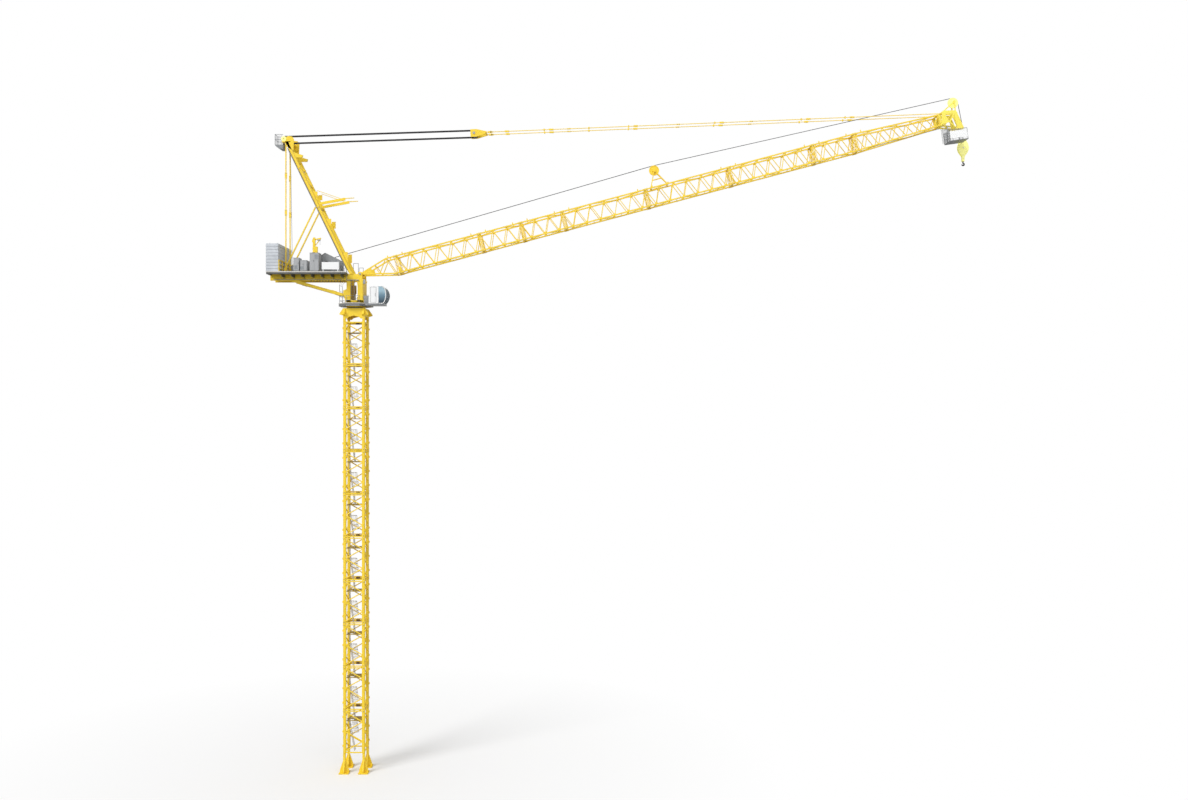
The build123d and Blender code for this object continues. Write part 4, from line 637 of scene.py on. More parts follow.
# Operator's cab: a white sprayed steel shell on a grey base, bent glass all round the front in dark rubber
# and pale pillars, with a seat and a console inside, and a dark tubular guard in front of it.
cab_white = painted_steel(
    "white_cab_enamel", (0.88, 0.89, 0.89, 1), (0.78, 0.79, 0.79, 1), gloss=0.28, wear=0.6
)
guard_blue = painted_steel("dark_guard_enamel", (0.20, 0.24, 0.27, 1), (0.27, 0.29, 0.31, 1), gloss=0.35)
rubber = painted_steel("black_window_rubber", (0.03, 0.03, 0.032, 1), (0.05, 0.05, 0.05, 1), gloss=0.6)
vinyl, vinyl_shade = (0.035, 0.04, 0.05, 1), (0.06, 0.06, 0.07, 1)
seat_black = painted_steel("charcoal_seat_vinyl", vinyl, vinyl_shade, gloss=0.5, grain=220.0)
dress(cab_white, "cab_shell", "machinery_board", "tip_board")
dress(machine_grey, "cab_base")
glass_tint_and_painted_reflection, tree, where = blank("blue_glass_painted_reflection")
# The glass is dark low down and pale blue high up: painted shade of the cab's inside below, a painted
# reflection of the sky above.
height = node(tree, "MapRange", node(tree, "SeparateXYZ", where)["Z"], From_Min=5.43, From_Max=5.64)[0]
glass_low, glass_middle, glass_high = (0.09, 0.13, 0.17, 1), (0.22, 0.36, 0.46, 1), (0.50, 0.70, 0.80, 1)
painted_reflection_fade = fade(tree, height, (0.1, glass_low), (0.45, glass_middle), (0.7, glass_high))
set_coat(tree, Base_Color=painted_reflection_fade, Roughness=0.04, IOR=1.25, Transmission_Weight=0.35)
dress(glass_tint_and_painted_reflection, "cab_glass")
bow = np.linspace(-np.pi / 2, np.pi / 2, 17)
pillars = rows(
    0.322 + 0.0512 * np.cos(bow) ** 0.9,
    np.array([-0.1485, -0.055, 0.0385])[:, None],
    5.532 + 0.1012 * np.sin(bow),
)
pillar_white = together(
    bent_bars(pillars[:1], (0, 1, 0), 0.0048, 10),
    bent_bars(pillars[1:], (0, 1, 0), 0.003),
    lumps(grid([0.2865], (-0.1505, 0.0405), [5.532]), (0.003, 0.001, 0.1005)),
    lumps(grid([0.304], [-0.055], (5.631, 5.434)), (0.019, 0.0965, 0.0025)),
)
add_piece("cab_pillars", pillar_white, cab_white, "upperworks")
door_outline = [(0.196, 5.445), (0.262, 5.445), (0.262, 5.62), (0.196, 5.62), (0.196, 5.445)]
door_seal = chain(at_y(door_outline, -0.1508), 0.0011, 6)
add_piece("cab_door_seal", door_seal, rubber, "upperworks")
handle_path = rows(0.254, (-0.152, -0.156, -0.156, -0.152), (5.515, 5.52, 5.545, 5.55))
add_piece("cab_door_handle", bent_bars([handle_path], (1, 0, 0), 0.0013), rubber, "upperworks")
seat = together(
    blocks((0.282, -0.082, 5.462), (0.322, -0.028, 5.474)),
    blocks((0.272, -0.08, 5.472), (0.284, -0.03, 5.538)),
    blocks((0.292, -0.066, 5.4375), (0.312, -0.044, 5.462)),
    blocks([(0.326, -0.10, 5.4375), (0.326, -0.03, 5.4375)], [(0.344, -0.085, 5.49), (0.344, -0.012, 5.49)]),
)
rounded(add_piece("cab_seat_and_consoles", seat, seat_black, "upperworks"), 0.004)


def guard_line(level):
    """X and Z of the cab guard's bow at a level from -1 to 1. Its z rises evenly with the level, and its x
    is the bow's depth times 1 minus the level squared, in front of its ends."""
    return np.stack([0.344 + 0.041 * (1 - level**2), 5.532 + 0.095 * level], -1)


bow_levels, bow_y = np.linspace(-1, 0.78, 21), np.linspace(-0.145, 0.035, 7)[:, None]
cross_tubes = at_y(guard_line(np.array([-1, -0.55, -0.1, 0.35, 0.78])), -0.055)
guard_tubes = together(
    bent_bars(at_y(guard_line(bow_levels), bow_y), (0, 1, 0), 0.0028),
    pins(cross_tubes, 0.09, 0.0022, 8),
    lumps(grid([0.344], (-0.09, -0.02), [5.4345]), (0.005, 0.005, 0.0025)),
)
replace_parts(add_piece("cab_guard_tubes", guard_tubes, guard_blue, "upperworks"), "cab_guard")
link_y, link_rail_z = -0.138, (5.45, 5.49, 5.53)
link_rails = together(
    posts(rows((0.128, 0.152, 0.17), link_y, 5.412), 0.118, 0.0016),
    round_bars(rows(0.118, link_y, link_rail_z), rows(0.174, link_y, link_rail_z), 0.0015, 6),
)
add_piece("cab_access_rails", link_rails, zinc, "upperworks")
link_floor = blocks((0.117, -0.14, 5.408), (0.176, -0.05, 5.412))
add_piece("cab_access_floor", link_floor, open_mesh, "upperworks")

# Counter-jib: two deep welded beams, yellow, stiffened by plate ribs, with pipe clamps along their lower
# edges, and a thin galvanised deck over stringers, with an edge angle and a handrail on its far side.
dress(yellow, "counter_jib_beams", "counterweight_frame")
# The deck, its skirts and stringers are coloured near black as painted shade under the deck's edge.
deck_zinc_painted_shade = galvanised_steel("deck_galvanised_painted_shade", (0.125, 0.128, 0.12, 1), (0.075, 0.078, 0.075, 1))
deck_rear, deck_front, deck_side, skirt_side = -0.97, -0.07, 0.2775, 0.262
skirt_low, floor_low, deck_top = 5.757, 5.7725, 5.781
stringer_x = np.linspace(-0.80, -0.12, 7)
deck = together(
    blocks((deck_rear, -deck_side, floor_low), (deck_front, deck_side, deck_top)),
    both_sides((deck_rear, skirt_side, skirt_low), (deck_front, deck_side, floor_low)),
    blocks((deck_rear, -skirt_side, skirt_low), (deck_rear + 0.015, skirt_side, floor_low)),
    blocks((deck_front - 0.015, -skirt_side, skirt_low), (deck_front, skirt_side, floor_low)),
    lumps(grid(stringer_x, (-0.18725, 0.18725), [5.75175]), (0.0025, 0.07475, 0.02075)),
)
deck_piece = add_piece("deck_floor_and_stringers", deck, deck_zinc_painted_shade, "upperworks")
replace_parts(deck_piece, "counter_jib_deck")
stiffener_middles = grid(np.linspace(-0.955, -0.15, 13), (-0.099, 0.099), [5.7375])
add_piece("beam_stiffeners", lumps(stiffener_middles, (0.0025, 0.0155, 0.037)), yellow, "upperworks")
clamps = lumps(rows(np.linspace(-0.50, -0.16, 11), -0.099, 5.69575), (0.006, 0.009, 0.00475))
add_piece("beam_pipe_clamps", clamps, ring_steel, "upperworks")
pipe = round_bars((-0.93, -0.1165, 5.712), (-0.14, -0.1165, 5.712), 0.0028)
add_piece("beam_cable_pipe", pipe, machine_grey, "upperworks")
collar_corners = np.array([(-0.028, -0.0115), (0.022, -0.0257), (0.028, 0.0115), (-0.022, 0.0257)])
collars = together(*[
    plate_pair(middle + collar_corners, 0.0835, 0.1145)
    for middle in np.array([(-0.625, 5.6757), (-0.235, 5.5654)])
])
add_piece("strut_collars", collars, yellow, "upperworks")
# The edge angle takes the bright ladder zinc as a painted highlight along the deck's top edge.
deck_edge = both_sides((deck_rear, deck_side, 5.7765), (deck_front, 0.28, 5.7895))
add_piece("deck_edge_angle", deck_edge, ladder_zinc, "upperworks")
bracket_top = grid(stringer_x, (-0.2765, 0.2765), [5.7765])
bracket_foot = grid(stringer_x, (-0.11613, 0.11613), [5.715])
deck_brackets = round_bars(bracket_top, bracket_foot, 0.0028, 6)
add_piece("deck_brackets", deck_brackets, zinc, "upperworks")
deck_posts = rows(np.linspace(-0.80, -0.10, 8), deck_side, 5.796)
deck_rails = together(
    railing(deck_posts[[0, -1]], 0.095, 0.002, (0.048, 0.095), 0.0018), posts(deck_posts[1:-1], 0.095, 0.002)
)
add_piece("deck_handrail", deck_rails, zinc, "upperworks")

# Counterweights: two stacks of nine cast concrete slabs, with chamfered edges, air pores and dark
# lifting eyes of round bar cast into the uppermost slabs.
concrete, tree, where = blank("cast_concrete")
mottle = node(tree, "TexNoise", where, Scale=7.0, Detail=8.0, Roughness=0.68)["Fac"]
cells = node(tree, "TexVoronoi", where, Scale=90.0)["Distance"]
pores = fade(tree, cells, (0.06, (0, 0, 0, 1)), (0.16, white))
set_coat(
    tree,
    Roughness=0.86,
    Base_Color=fade(tree, mottle, (0.3, (0.50, 0.53, 0.57, 1)), (0.7, (0.66, 0.69, 0.73, 1))),
    Normal=node(tree, "Bump", Strength=0.35, Distance=0.002, Height=pores)[0],
)
course = np.tile(deck_top + 0.0364 * np.arange(9), 2)
slip = 0.0012 * np.random.default_rng(5).random((18, 4))
slab_low = rows(-0.974, np.repeat([-0.2797, 0.0003], 9), course)
slab_high = rows(-0.829, np.repeat([-0.0003, 0.2797], 9), course + 0.0351)
slab_low[:, :2] += slip[:, :2]
slab_high[:, :2] -= slip[:, 2:]
slabs = add_piece("counterweight_slabs", blocks(slab_low, slab_high), concrete, "upperworks")
rounded(slabs, 0.003)
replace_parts(slabs, "counterweights")
eye_turn = np.linspace(0, np.pi, 11)
eye_feet = grid((-0.945, -0.858), (-0.21, -0.07, 0.07, 0.21), [6.106])
eye_paths = eye_feet[:, None] + rows(0.009 * np.cos(eye_turn), 0, 0.013 * np.sin(eye_turn))
lifting_eyes = bent_bars(eye_paths, (0, 1, 0), 0.0018)
add_piece("slab_lifting_eyes", lifting_eyes, ring_steel, "upperworks")
bolt_heads = grid([-0.818], (-0.275, -0.14, 0.14, 0.275), deck_top + np.array([0.02, 0.065, 0.113]))
frame_bolts = round_bars(bolt_heads, bolt_heads + [0.0035, 0, 0], 0.0026, 6)
add_piece("weight_frame_bolts", frame_bolts, pin_steel, "upperworks")

# Cabinets: pressed steel switchgear housings in machine grey, with sheet doors, louvres, lids and feet of
# channel.
cabinet_grey = painted_steel("cabinet_grey_enamel", (0.40, 0.41, 0.42, 1), (0.31, 0.32, 0.33, 1), gloss=0.36)
cabinet_x = np.array([(-0.664, -0.598), (-0.584, -0.508), (-0.476, -0.372)])
cabinet_top = deck_top + np.array([0.164, 0.136, 0.222])
cabinet_feet = rows((cabinet_x + [0.006, -0.016]).ravel(), -0.258, deck_top)
cabinets = together(
    blocks(rows(cabinet_x[:, 0], -0.262, 5.793), rows(cabinet_x[:, 1], -0.136, cabinet_top)),
    blocks(cabinet_feet, cabinet_feet + [0.01, 0.118, 0.012]),
)
housings = add_piece("cabinet_housings", cabinets, cabinet_grey, "upperworks")
rounded(housings, 0.002)
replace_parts(housings, "machine_cabinets")
door_left = (-0.660, -0.580, -0.545, -0.472, -0.423)
door_right = (-0.602, -0.547, -0.512, -0.425, -0.376)
door_top = (5.936, 5.908, 5.908, 5.994, 5.994)
door_sheets = blocks(rows(door_left, -0.2638, 5.80), rows(door_right, -0.2615, door_top))
rounded(add_piece("cabinet_doors", door_sheets, cabinet_grey, "upperworks"), 0.0008, 1)
# The louvres are thin dark strips across the doors: painted shade in the slits between their slats.
louvres = together(*[
    lumps(rows(x, -0.2644, low + 0.007 * np.arange(count)), (0.018, 0.0008, 0.0012))
    for x, low, count in ((-0.631, 5.815, 7), (-0.5635, 5.815, 5), (-0.3995, 5.93, 8))
])
add_piece("cabinet_louvres", louvres, guard_blue, "upperworks")
lid_low = rows(cabinet_x[:, 0] - 0.002, -0.265, cabinet_top - 0.004)
lids = blocks(lid_low, rows(cabinet_x[:, 1] + 0.002, -0.134, cabinet_top))
rounded(add_piece("cabinet_lids", lids, cabinet_grey, "upperworks"), 0.001)
grip = rows((-0.608, -0.552, -0.43), -0.2665, (5.87, 5.86, 5.90))
add_piece("cabinet_grips", blocks(grip, grip + [0.003, 0.003, 0.018]), rubber, "upperworks")

# Winches: rope drums wound with rope lay by lay between flanges, on welded side plates, the hoist drum
# driven by a finned motor, with a guard of grey sheet round it.


def windings(turns, radius, crest, centre, steps):
    """Rope wound side by side on a drum, 4 mm apart: its profile rises by the crest at every second step
    along the drum, over a hidden bore."""
    step, rope_pitch, bore = np.arange(2 * turns + 1), 0.004, 0.03
    end = rope_pitch * turns / 2
    radii = np.append(radius + crest * (step % 2), [bore, bore])
    return turned(radii, np.append(rope_pitch * (step // 2) - end, [end, -end]), centre, "y", steps)


rope_ink, rope_shade = (0.06, 0.06, 0.065, 1), (0.11, 0.10, 0.09, 1)
greased_dark = painted_steel("drum_wound_rope", rope_ink, rope_shade, gloss=0.4, metallic=0.4)
hoist_drum, luffing_drum = (-0.326, 5.905), (-0.700, 5.851)
wound = together(
    windings(36, 0.0502, 0.0017, (hoist_drum[0], 0, hoist_drum[1]), 40),
    windings(29, 0.0422, 0.0014, (luffing_drum[0], 0, luffing_drum[1]), 36),
)
add_piece("drum_rope_windings", wound, greased_dark, "upperworks")
dress(machine_grey, "winches")
motor_fins = fins(12, -0.066, 0.009, 0.0045, 0.027, 0.0245)
motor_radii = np.concatenate([[0.001], motor_fins[0], [0.024, 0.001]])
motor_levels = np.concatenate([[-0.066], motor_fins[1], [0.048, 0.048]])
winch_motor = together(
    turned(motor_radii, motor_levels, (-0.226, 0, 5.9), "y", 28),
    blocks((-0.252, -0.03, 5.870), (-0.2, 0.03, 5.876)),
    blocks((-0.236, -0.014, 5.925), (-0.214, 0.014, 5.936)),
)
add_piece("hoist_winch_motor", winch_motor, cabinet_grey, "upperworks")
guard_sheet = galvanised_steel("winch_guard_sheet", (0.33, 0.345, 0.355, 1), (0.23, 0.24, 0.25, 1))
dress(guard_sheet, "winch_guard")
guard_low = (-0.398, 5.783)
guard_outline = [guard_low, (-0.17, 5.783), (-0.17, 5.939), (-0.338, 6.0205), (-0.398, 5.984), guard_low]
guard_frame = together(*[chain(at_y(guard_outline, y), 0.0026) for y in (-0.1035, 0.1035)])
add_piece("winch_guard_frame", guard_frame, cabinet_grey, "upperworks")
# A black arch-shaped sheet on the guard's near face is painted shade, standing in for a dark opening.
painted_shade_arch = circle((-0.322, 5.905), 0.022, np.linspace(0, np.pi, 9))[:, ::2]
hatch = np.concatenate([[(-0.344, 5.885), (-0.30, 5.885)], painted_shade_arch])
add_piece("winch_guard_painted_shade", plates(hatch, -0.1045, -0.1015), rubber, "upperworks")

# Service crane: a small column crane of steel tube with a slewing head, sprayed yellow and bolted to the
# deck, used to lift parts onto it with its own little winch and rope.
dress(yellow, "service_crane")
crane_bits = together(
    round_bars((-0.44, -0.2, 6.012), (-0.44, -0.2, 6.02), 0.019, 16),
    round_bars((-0.44, -0.2, 6.17), (-0.44, -0.2, 6.184), 0.0135, 12),
    blocks((-0.462, -0.207, 6.13), (-0.453, -0.193, 6.16)),
    blocks((-0.455, -0.211, 6.05), (-0.4525, -0.189, 6.075)),
)
rounded(add_piece("service_crane_fittings", crane_bits, yellow, "upperworks"), 0.0012)
crane_box = blocks((-0.402, -0.215, 6.148), (-0.37, -0.185, 6.162))
rounded(add_piece("service_crane_winch", crane_box, cabinet_grey, "upperworks"), 0.002)
crane_rope = round_bars((-0.372, -0.2, 6.172), (-0.372, -0.2, 6.10), 0.0012, 6)
add_piece("service_crane_rope", crane_rope, greased_dark, "upperworks")

# A-frame: two leaning box legs, each flanged and bolted halfway, with edge strips of painted shade, rear
# ties in links, a basket and cheek plates at the head for the rigger and a straight ladder up the near leg.
dress(yellow, "a_frame_legs", "a_frame_struts", "a_frame_ties", "backstops", "a_frame_head")
leg_foot, leg_head = np.array([-0.024, 5.755]), np.array([-0.79, 7.33])
leg_way = (leg_head - leg_foot) / np.linalg.norm(leg_head - leg_foot)
leg_side = np.array([-leg_way[1], leg_way[0]])


def on_leg(heights, back=0.0):
    """X and Z at these heights on a leg's middle line, moved this far square to it, to the rear."""
    up = (np.asarray(heights, float)[..., None] - leg_foot[1]) / leg_way[1]
    return leg_foot + up * leg_way + np.asarray(back)[..., None] * leg_side


leg_y = 0.11
flange_corners = np.outer([-1, 1, 1, -1], 0.004 * leg_way) + np.outer([-1, -1, 1, 1], 0.0205 * leg_side)
flange_middles = on_leg([6.02, 6.53, 6.56, 6.98, 7.01])
flanges = together(*[
    plate_pair(middle + flange_corners, leg_y - 0.0135, leg_y + 0.0135) for middle in flange_middles
])
add_piece("leg_flanges", flanges, yellow, "upperworks")
flange_pins = pins(at_y(on_leg([6.545, 6.995])[:, None], (-leg_y, leg_y)).reshape(-1, 3), 0.019, 0.006, 10)
add_piece("leg_flange_pins", flange_pins, pin_steel, "upperworks")
strip_high, strip_low = 7.27, 5.80
edge_strips = together(*[
    plate_pair(
        on_leg((strip_high, strip_high, strip_low, strip_low), (near, far, far, near)), 0.1205, 0.1228
    )
    for near, far in ((-0.0165, -0.0115), (0.0115, 0.0165))
])
# The edge strips are darker ochre as painted shade on the legs' sides.
edge_strip_painted_shade = painted_steel("edge_strip_painted_shade_paint", (0.62, 0.42, 0.03, 1), (0.50, 0.34, 0.03, 1))
add_piece("leg_edge_strips", edge_strips, edge_strip_painted_shade, "upperworks")
leg_rail_y, leg_rail_back = np.array([-0.125, -0.095]), 0.0245
rail_low, rail_high, rung_low, rung_high = 5.83, 7.24, 5.845, 7.228
rung_shares = (np.linspace(rung_low, rung_high, 54) - rail_low) / (rail_high - rail_low)
bracket_in, bracket_out = [on_leg((5.9, 6.35, 6.8, 7.2), back) for back in (0.0165, leg_rail_back)]
leg_ladder = together(
    ladder(
        at_y(on_leg(rail_low, leg_rail_back), leg_rail_y),
        at_y(on_leg(rail_high, leg_rail_back), leg_rail_y),
        rung_shares, 0.0036, 0.0013, 8,
    ),
    *[round_bars(at_y(bracket_in, y), at_y(bracket_out, y), 0.002, 6) for y in (-0.121, -0.099)],
    round_bars(rows(-0.0884, leg_rail_y, 5.8165), rows(-0.081, leg_rail_y, 5.709), 0.0026),
)
leg_ladder_piece = add_piece("leg_ladder_rails_and_rungs", leg_ladder, zinc, "upperworks")
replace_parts(leg_ladder_piece, "a_frame_ladder")
tie_x, tie_y = -0.796, 0.088
tie_pins = pins(grid([tie_x], (-tie_y, tie_y), (6.895, 6.945, 6.465, 6.515, 5.811)), 0.0075, 0.0045, 10)
add_piece("tie_joint_pins", tie_pins, pin_steel, "upperworks")
cheek_y = [side * (tie_y + off) for side in (-1, 1) for off in (-0.0051, 0.0051)]
cheeks = lumps(grid([tie_x], cheek_y, (6.92, 6.49)), (0.012, 0.0011, 0.034))
rounded(add_piece("tie_joint_cheeks", cheeks, yellow, "upperworks"), 0.003)
basket_metal = galvanised_steel("basket_galvanised", (0.30, 0.315, 0.33, 1), (0.20, 0.21, 0.22, 1))
basket_rear, basket_half, basket_low, basket_tall = -0.93, 0.062, 7.284, 0.12
basket_sides = (-basket_half, basket_half)
basket_floor = [
    (-0.932, 7.284), (-0.925, 7.27), (-0.874, 7.236), (-0.8345, 7.236), (-0.8345, 7.308), (-0.838, 7.308),
    (-0.838, 7.284),
]
basket = together(
    posts(grid(np.linspace(basket_rear, -0.85, 7), basket_sides, [basket_low]), basket_tall, 0.0009),
    posts(rows(basket_rear, np.linspace(*basket_sides, 9), basket_low), basket_tall, 0.0009),
    *[
        chain(rows((-0.836, basket_rear, basket_rear, -0.836), np.repeat(basket_sides, 2), z), 0.0024)
        for z in (7.344, basket_low + basket_tall)
    ],
    posts(grid((basket_rear, -0.85), basket_sides, [basket_low]), basket_tall, 0.0026, 8),
    plates(basket_floor, -0.0645, 0.0645),
)
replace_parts(add_piece("head_basket", basket, basket_metal, "upperworks"), "a_frame_basket")
head_axle = (-0.808, 7.351)
cheek_outline = [
    (-0.795, 7.26), (-0.70, 7.20), (-0.694, 7.335), (-0.715, 7.365), (-0.765, 7.372), (-0.79, 7.35),
]
head_bits = together(
    pin_heads(head_axle, 0.0562, 0.062, 0.016, 14),
    pin_heads((-0.77, 7.325), 0.0562, 0.06, 0.009, 12),
    plate_pair(cheek_outline, 0.116, 0.122),
)
add_piece("head_cheek_plates", head_bits, yellow, "upperworks")
pale_yellow_painted_glow = painted_steel(
    "pale_yellow_enamel_painted_glow", (0.97, 0.94, 0.30, 1), (0.90, 0.85, 0.22, 1), gloss=0.38, wear=0.6
)
# A faint emission makes this pale yellow glow as painted light, lifting the hook block and the head's pale
# parts out of shade.
set_coat(pale_yellow_painted_glow.node_tree, Emission_Color=(1.0, 0.97, 0.30, 1), Emission_Strength=0.2)
cover_radii, cover_y = [0.008, 0.026, 0.030, 0.030, 0.008], [-0.1265, -0.1265, -0.1245, -0.1225, -0.1225]
cover = turned(cover_radii, cover_y, (-0.811, 0, 7.338), "y", 40)
add_piece("head_sheave_cover", cover, pale_yellow_painted_glow, "upperworks")

# Head sheaves and luffing ropes: five grooved wheels at the A-frame's head and five in the travelling block,
# and between them ten falls of greased wire rope, drawn in by the luffing winch as the jib rises.
block_black = painted_steel("dark_block_enamel", (0.10, 0.10, 0.105, 1), (0.06, 0.06, 0.06, 1), gloss=0.42)
head_middle, block_middle = np.array(head_axle), np.array([1.381, 7.423])
lay_y = np.array([-0.034, -0.017, 0, 0.017, 0.034])
groove_y = (lay_y[:, None] + [-0.0078, -0.0034, -0.0012, 0.0012, 0.0034, 0.0078]).ravel()
groove_radii = np.tile([0.0425, 0.0425, 0.0382, 0.0382, 0.0425, 0.0425], 5)


def sheave_pack(middle, bore):
    """Five grooved wheels side by side on one axle along Y, as one turned ring over its bore."""
    radii, levels = np.append(groove_radii, [bore, bore]), np.append(groove_y, [0.044, -0.044])
    return turned(radii, levels, (middle[0], 0, middle[1]), "y", 40)


pack, rims = sheave_pack(head_middle, 0.0122), sheave_pack(block_middle, 0.036)
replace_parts(add_piece("head_sheave_pack", pack, block_black, "upperworks"), "head_sheaves")
add_piece("travelling_sheave_rims", rims, block_black, "pendants")
dress(yellow, "travelling_block")
block_pins = together(
    pin_heads(block_middle, 0.056, 0.0625, 0.015, 14), pin_heads(block_middle, 0.0625, 0.065, 0.008, 6)
)
add_piece("travelling_block_pins", block_pins, pin_steel, "pendants")


def wire_rope(name, light, dark, rough):
    """Laid wire rope: slanting bands colour the gaps between its strands dark as painted shade and lift their
    crowns.
    """
    made, tree, where = blank(name)
    wave = node(tree, "TexWave", where, Scale=90.0, Distortion=0.0, bands_direction="DIAGONAL")["Fac"]
    set_coat(
        tree,
        Metallic=0.5,
        Roughness=rough,
        Base_Color=fade(tree, wave, (0.1, dark), (0.7, light)),
        Normal=node(tree, "Bump", Strength=0.5, Distance=0.0006, Height=wave)[0],
    )
    return made


greased = wire_rope("greased_wire_rope", (0.045, 0.045, 0.05, 1), (0.015, 0.015, 0.015, 1), 0.5)
bare_wire = wire_rope("bare_wire_rope", (0.085, 0.088, 0.095, 1), (0.03, 0.03, 0.032, 1), 0.6)
fall_way = (block_middle - head_middle) / np.linalg.norm(block_middle - head_middle)
fall_up = np.array([-fall_way[1], fall_way[0]])
fall_reach, fall_rope = 0.0403, 0.0022
fall_offsets = [side * fall_reach * fall_up for side in (-1, 1)]
fall_from = np.concatenate([at_y(head_middle + offset, lay_y) for offset in fall_offsets])
fall_to = np.concatenate([at_y(block_middle + offset, lay_y) for offset in fall_offsets])
fall_bars = round_bars(fall_from, fall_to, fall_rope)
falls = add_piece("luffing_rope_falls", fall_bars, greased, "luffing_falls")
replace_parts(falls, "luffing_ropes")
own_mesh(falls)
fall_tilt = math.atan2(fall_up[1], fall_up[0])
for name, centre, body, way in (
    ("head_rope_wraps", head_middle, "upperworks", 1),
    ("block_rope_wraps", block_middle, "pendants", -1),
):
    wraps = circle(centre, fall_reach, fall_tilt + way * np.linspace(0, np.pi, 17), lay_y[:, None])
    add_piece(name, bent_bars(wraps, (0, 1, 0), fall_rope), greased, body)
lead_bar = round_bars((-0.744, 0, 5.851), (-0.7677, 0, 7.306), 0.002)
lead = add_piece("luffing_lead_line", lead_bar, bare_wire, "upperworks")
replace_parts(lead, "luffing_lead_rope")

# Pendants: two flat steel bars, sprayed yellow, from the travelling block to the jib head. They come in
# links with thicker eyes at their ends, joined by steel pins.
dress(yellow, "pendant_bars")


def jib_point(along, up):
    """X and Z of a place given as the distance along the jib from its pivot and the height over its middle
    line. From the pivot, x is along * cosine - up * sine and z is along * sine + up * cosine."""
    cosine, sine = 0.96638, 0.25713
    return jib_pivot + np.stack([along * cosine - up * sine, along * sine + up * cosine], -1)


pendant_y, pendant_gap = 0.064, jib_point(7.014, 0.067) - block_middle
pendant_run = np.linalg.norm(pendant_gap)
pendant_way = pendant_gap / pendant_run


def on_pendants(runs):
    """Places at these distances from the travelling block along both pendants, as rows of x, y and z."""
    line = block_middle + np.asarray(runs)[:, None] * pendant_way
    return np.concatenate([at_y(line, y) for y in (-pendant_y, pendant_y)])


large_lugs = (np.array([1.567, 1.764, 2.280, 3.262, 4.262, 5.267, 5.776]) - block_middle[0]) / pendant_way[0]
small_lugs = np.append(large_lugs[2:], [1.42, 0.28]) - 0.082
pendant_lugs = together(
    lumps(on_pendants(large_lugs), (0.025, 0.0062, 0.0105)),
    lumps(on_pendants(small_lugs), (0.008, 0.0062, 0.013)),
)
rounded(add_piece("pendant_link_lugs", pendant_lugs, yellow, "pendants"), 0.003)
link_run = 0.15 + np.array([0.01, 0.18, 0.42, 0.58, 0.8]) * (pendant_run - 0.15)
link_pins = pins(on_pendants(np.append(link_run - 0.012, link_run + 0.012)), 0.008, 0.0034, 10)
add_piece("pendant_link_pins", link_pins, pin_steel, "pendants")

# Jib: box lattice sections of square chords and round braces. Each ends in forked blocks that pin to the
# next one and in two cross-braced end frames, every brace lands on the chords with a small gusset, lifting
# lugs stand on the upper chords, and the head has side plates round two openings.
dress(yellow, "jib_foot", "jib_tip_section", *[f"jib_section_{number}" for number in range(1, 8)])


def on_jib(shape):
    """A shape whose points are the distance along the jib, y and the height over its middle line, set in
    the frame."""
    along, y, up = shape[0].T
    return at_y(jib_point(along, up), y), shape[1]


joint_at = np.array([0.445, 1.445, 1.945, 2.445, 3.445, 4.445, 5.445, 5.945])
jib_side, jib_up, node_pitch = np.array([-0.0925, 0.0925]), np.array([-0.0975, 0.0975]), 1 / 12
fork_at = grid(joint_at, jib_side, jib_up)
rounded(add_piece("jib_joint_forks", on_jib(lumps(fork_at, (0.027, 0.0098, 0.0112))), yellow, "jib"), 0.002)
fork_pin_at = np.concatenate([fork_at - [0.012, 0, 0], fork_at + [0.012, 0, 0]])
add_piece("jib_joint_pins", on_jib(pins(fork_pin_at, 0.0135, 0.0042, 10)), pin_steel, "jib")
frame_y, frame_up, frame_lean, chord_y = 0.088, 0.094, 0.004, jib_side[1]
frame_starts = np.array([
    (0, -frame_y, -frame_up), (0, -frame_y, frame_up), (0, -0.09, 0),
    (0, -chord_y, -frame_up), (0, chord_y, -frame_up),
])
frame_ends = np.array([
    (frame_lean, frame_y, frame_up), (-frame_lean, frame_y, -frame_up), (0, 0.09, 0),
    (0, -chord_y, frame_up), (0, chord_y, frame_up),
])
end_frames = together(*[
    round_bars(frame_starts + [at, 0, 0], frame_ends * [side, 1, 1] + [at, 0, 0], 0.0028, 6)
    for side in (-1, 1)
    for at in joint_at + side * 0.021
])
add_piece("jib_end_frames", on_jib(end_frames), yellow, "jib")
node_along = joint_at[0] + np.arange(1, 66) * node_pitch
node_along = node_along[(np.abs(node_along[:, None] - joint_at).min(1) > 0.035) & (node_along < 5.93)]
section_first = joint_at[np.searchsorted(joint_at, node_along) - 1]
is_low = np.round((node_along - section_first) / node_pitch).astype(int) % 2 == 1
gusset_up = np.where(is_low, -0.0875, 0.0875)
gusset_at = np.concatenate([rows(node_along, y, gusset_up) for y in jib_side])
add_piece("jib_gussets", on_jib(lumps(gusset_at, (0.015, 0.0022, 0.011))), yellow, "jib")
cross_bars = pins(grid(joint_at[0] + np.arange(34) * 2 * node_pitch, [0], jib_up), frame_y, 0.0024, 6)
add_piece("jib_cross_bars", on_jib(cross_bars), yellow, "jib")
top_lug_at = grid(np.append(joint_at - 0.087, joint_at + 0.087), jib_side, [0.1125])
top_lugs = on_jib(blocks(top_lug_at - [0.0075, 0.004, 0.012], top_lug_at + [0.0055, 0.004, 0.013]))
rounded(add_piece("jib_top_lugs", top_lugs, yellow, "jib"), 0.002)
head_corners = np.array([
    (6.804, 7.507), (6.892, 7.537), (6.988, 7.456), (7.055, 7.456), (6.966, 7.662), (6.807, 7.652),
    (6.846, 7.626), (6.936, 7.636), (6.894, 7.546), (6.950, 7.628), (6.988, 7.472), (6.908, 7.540),
])
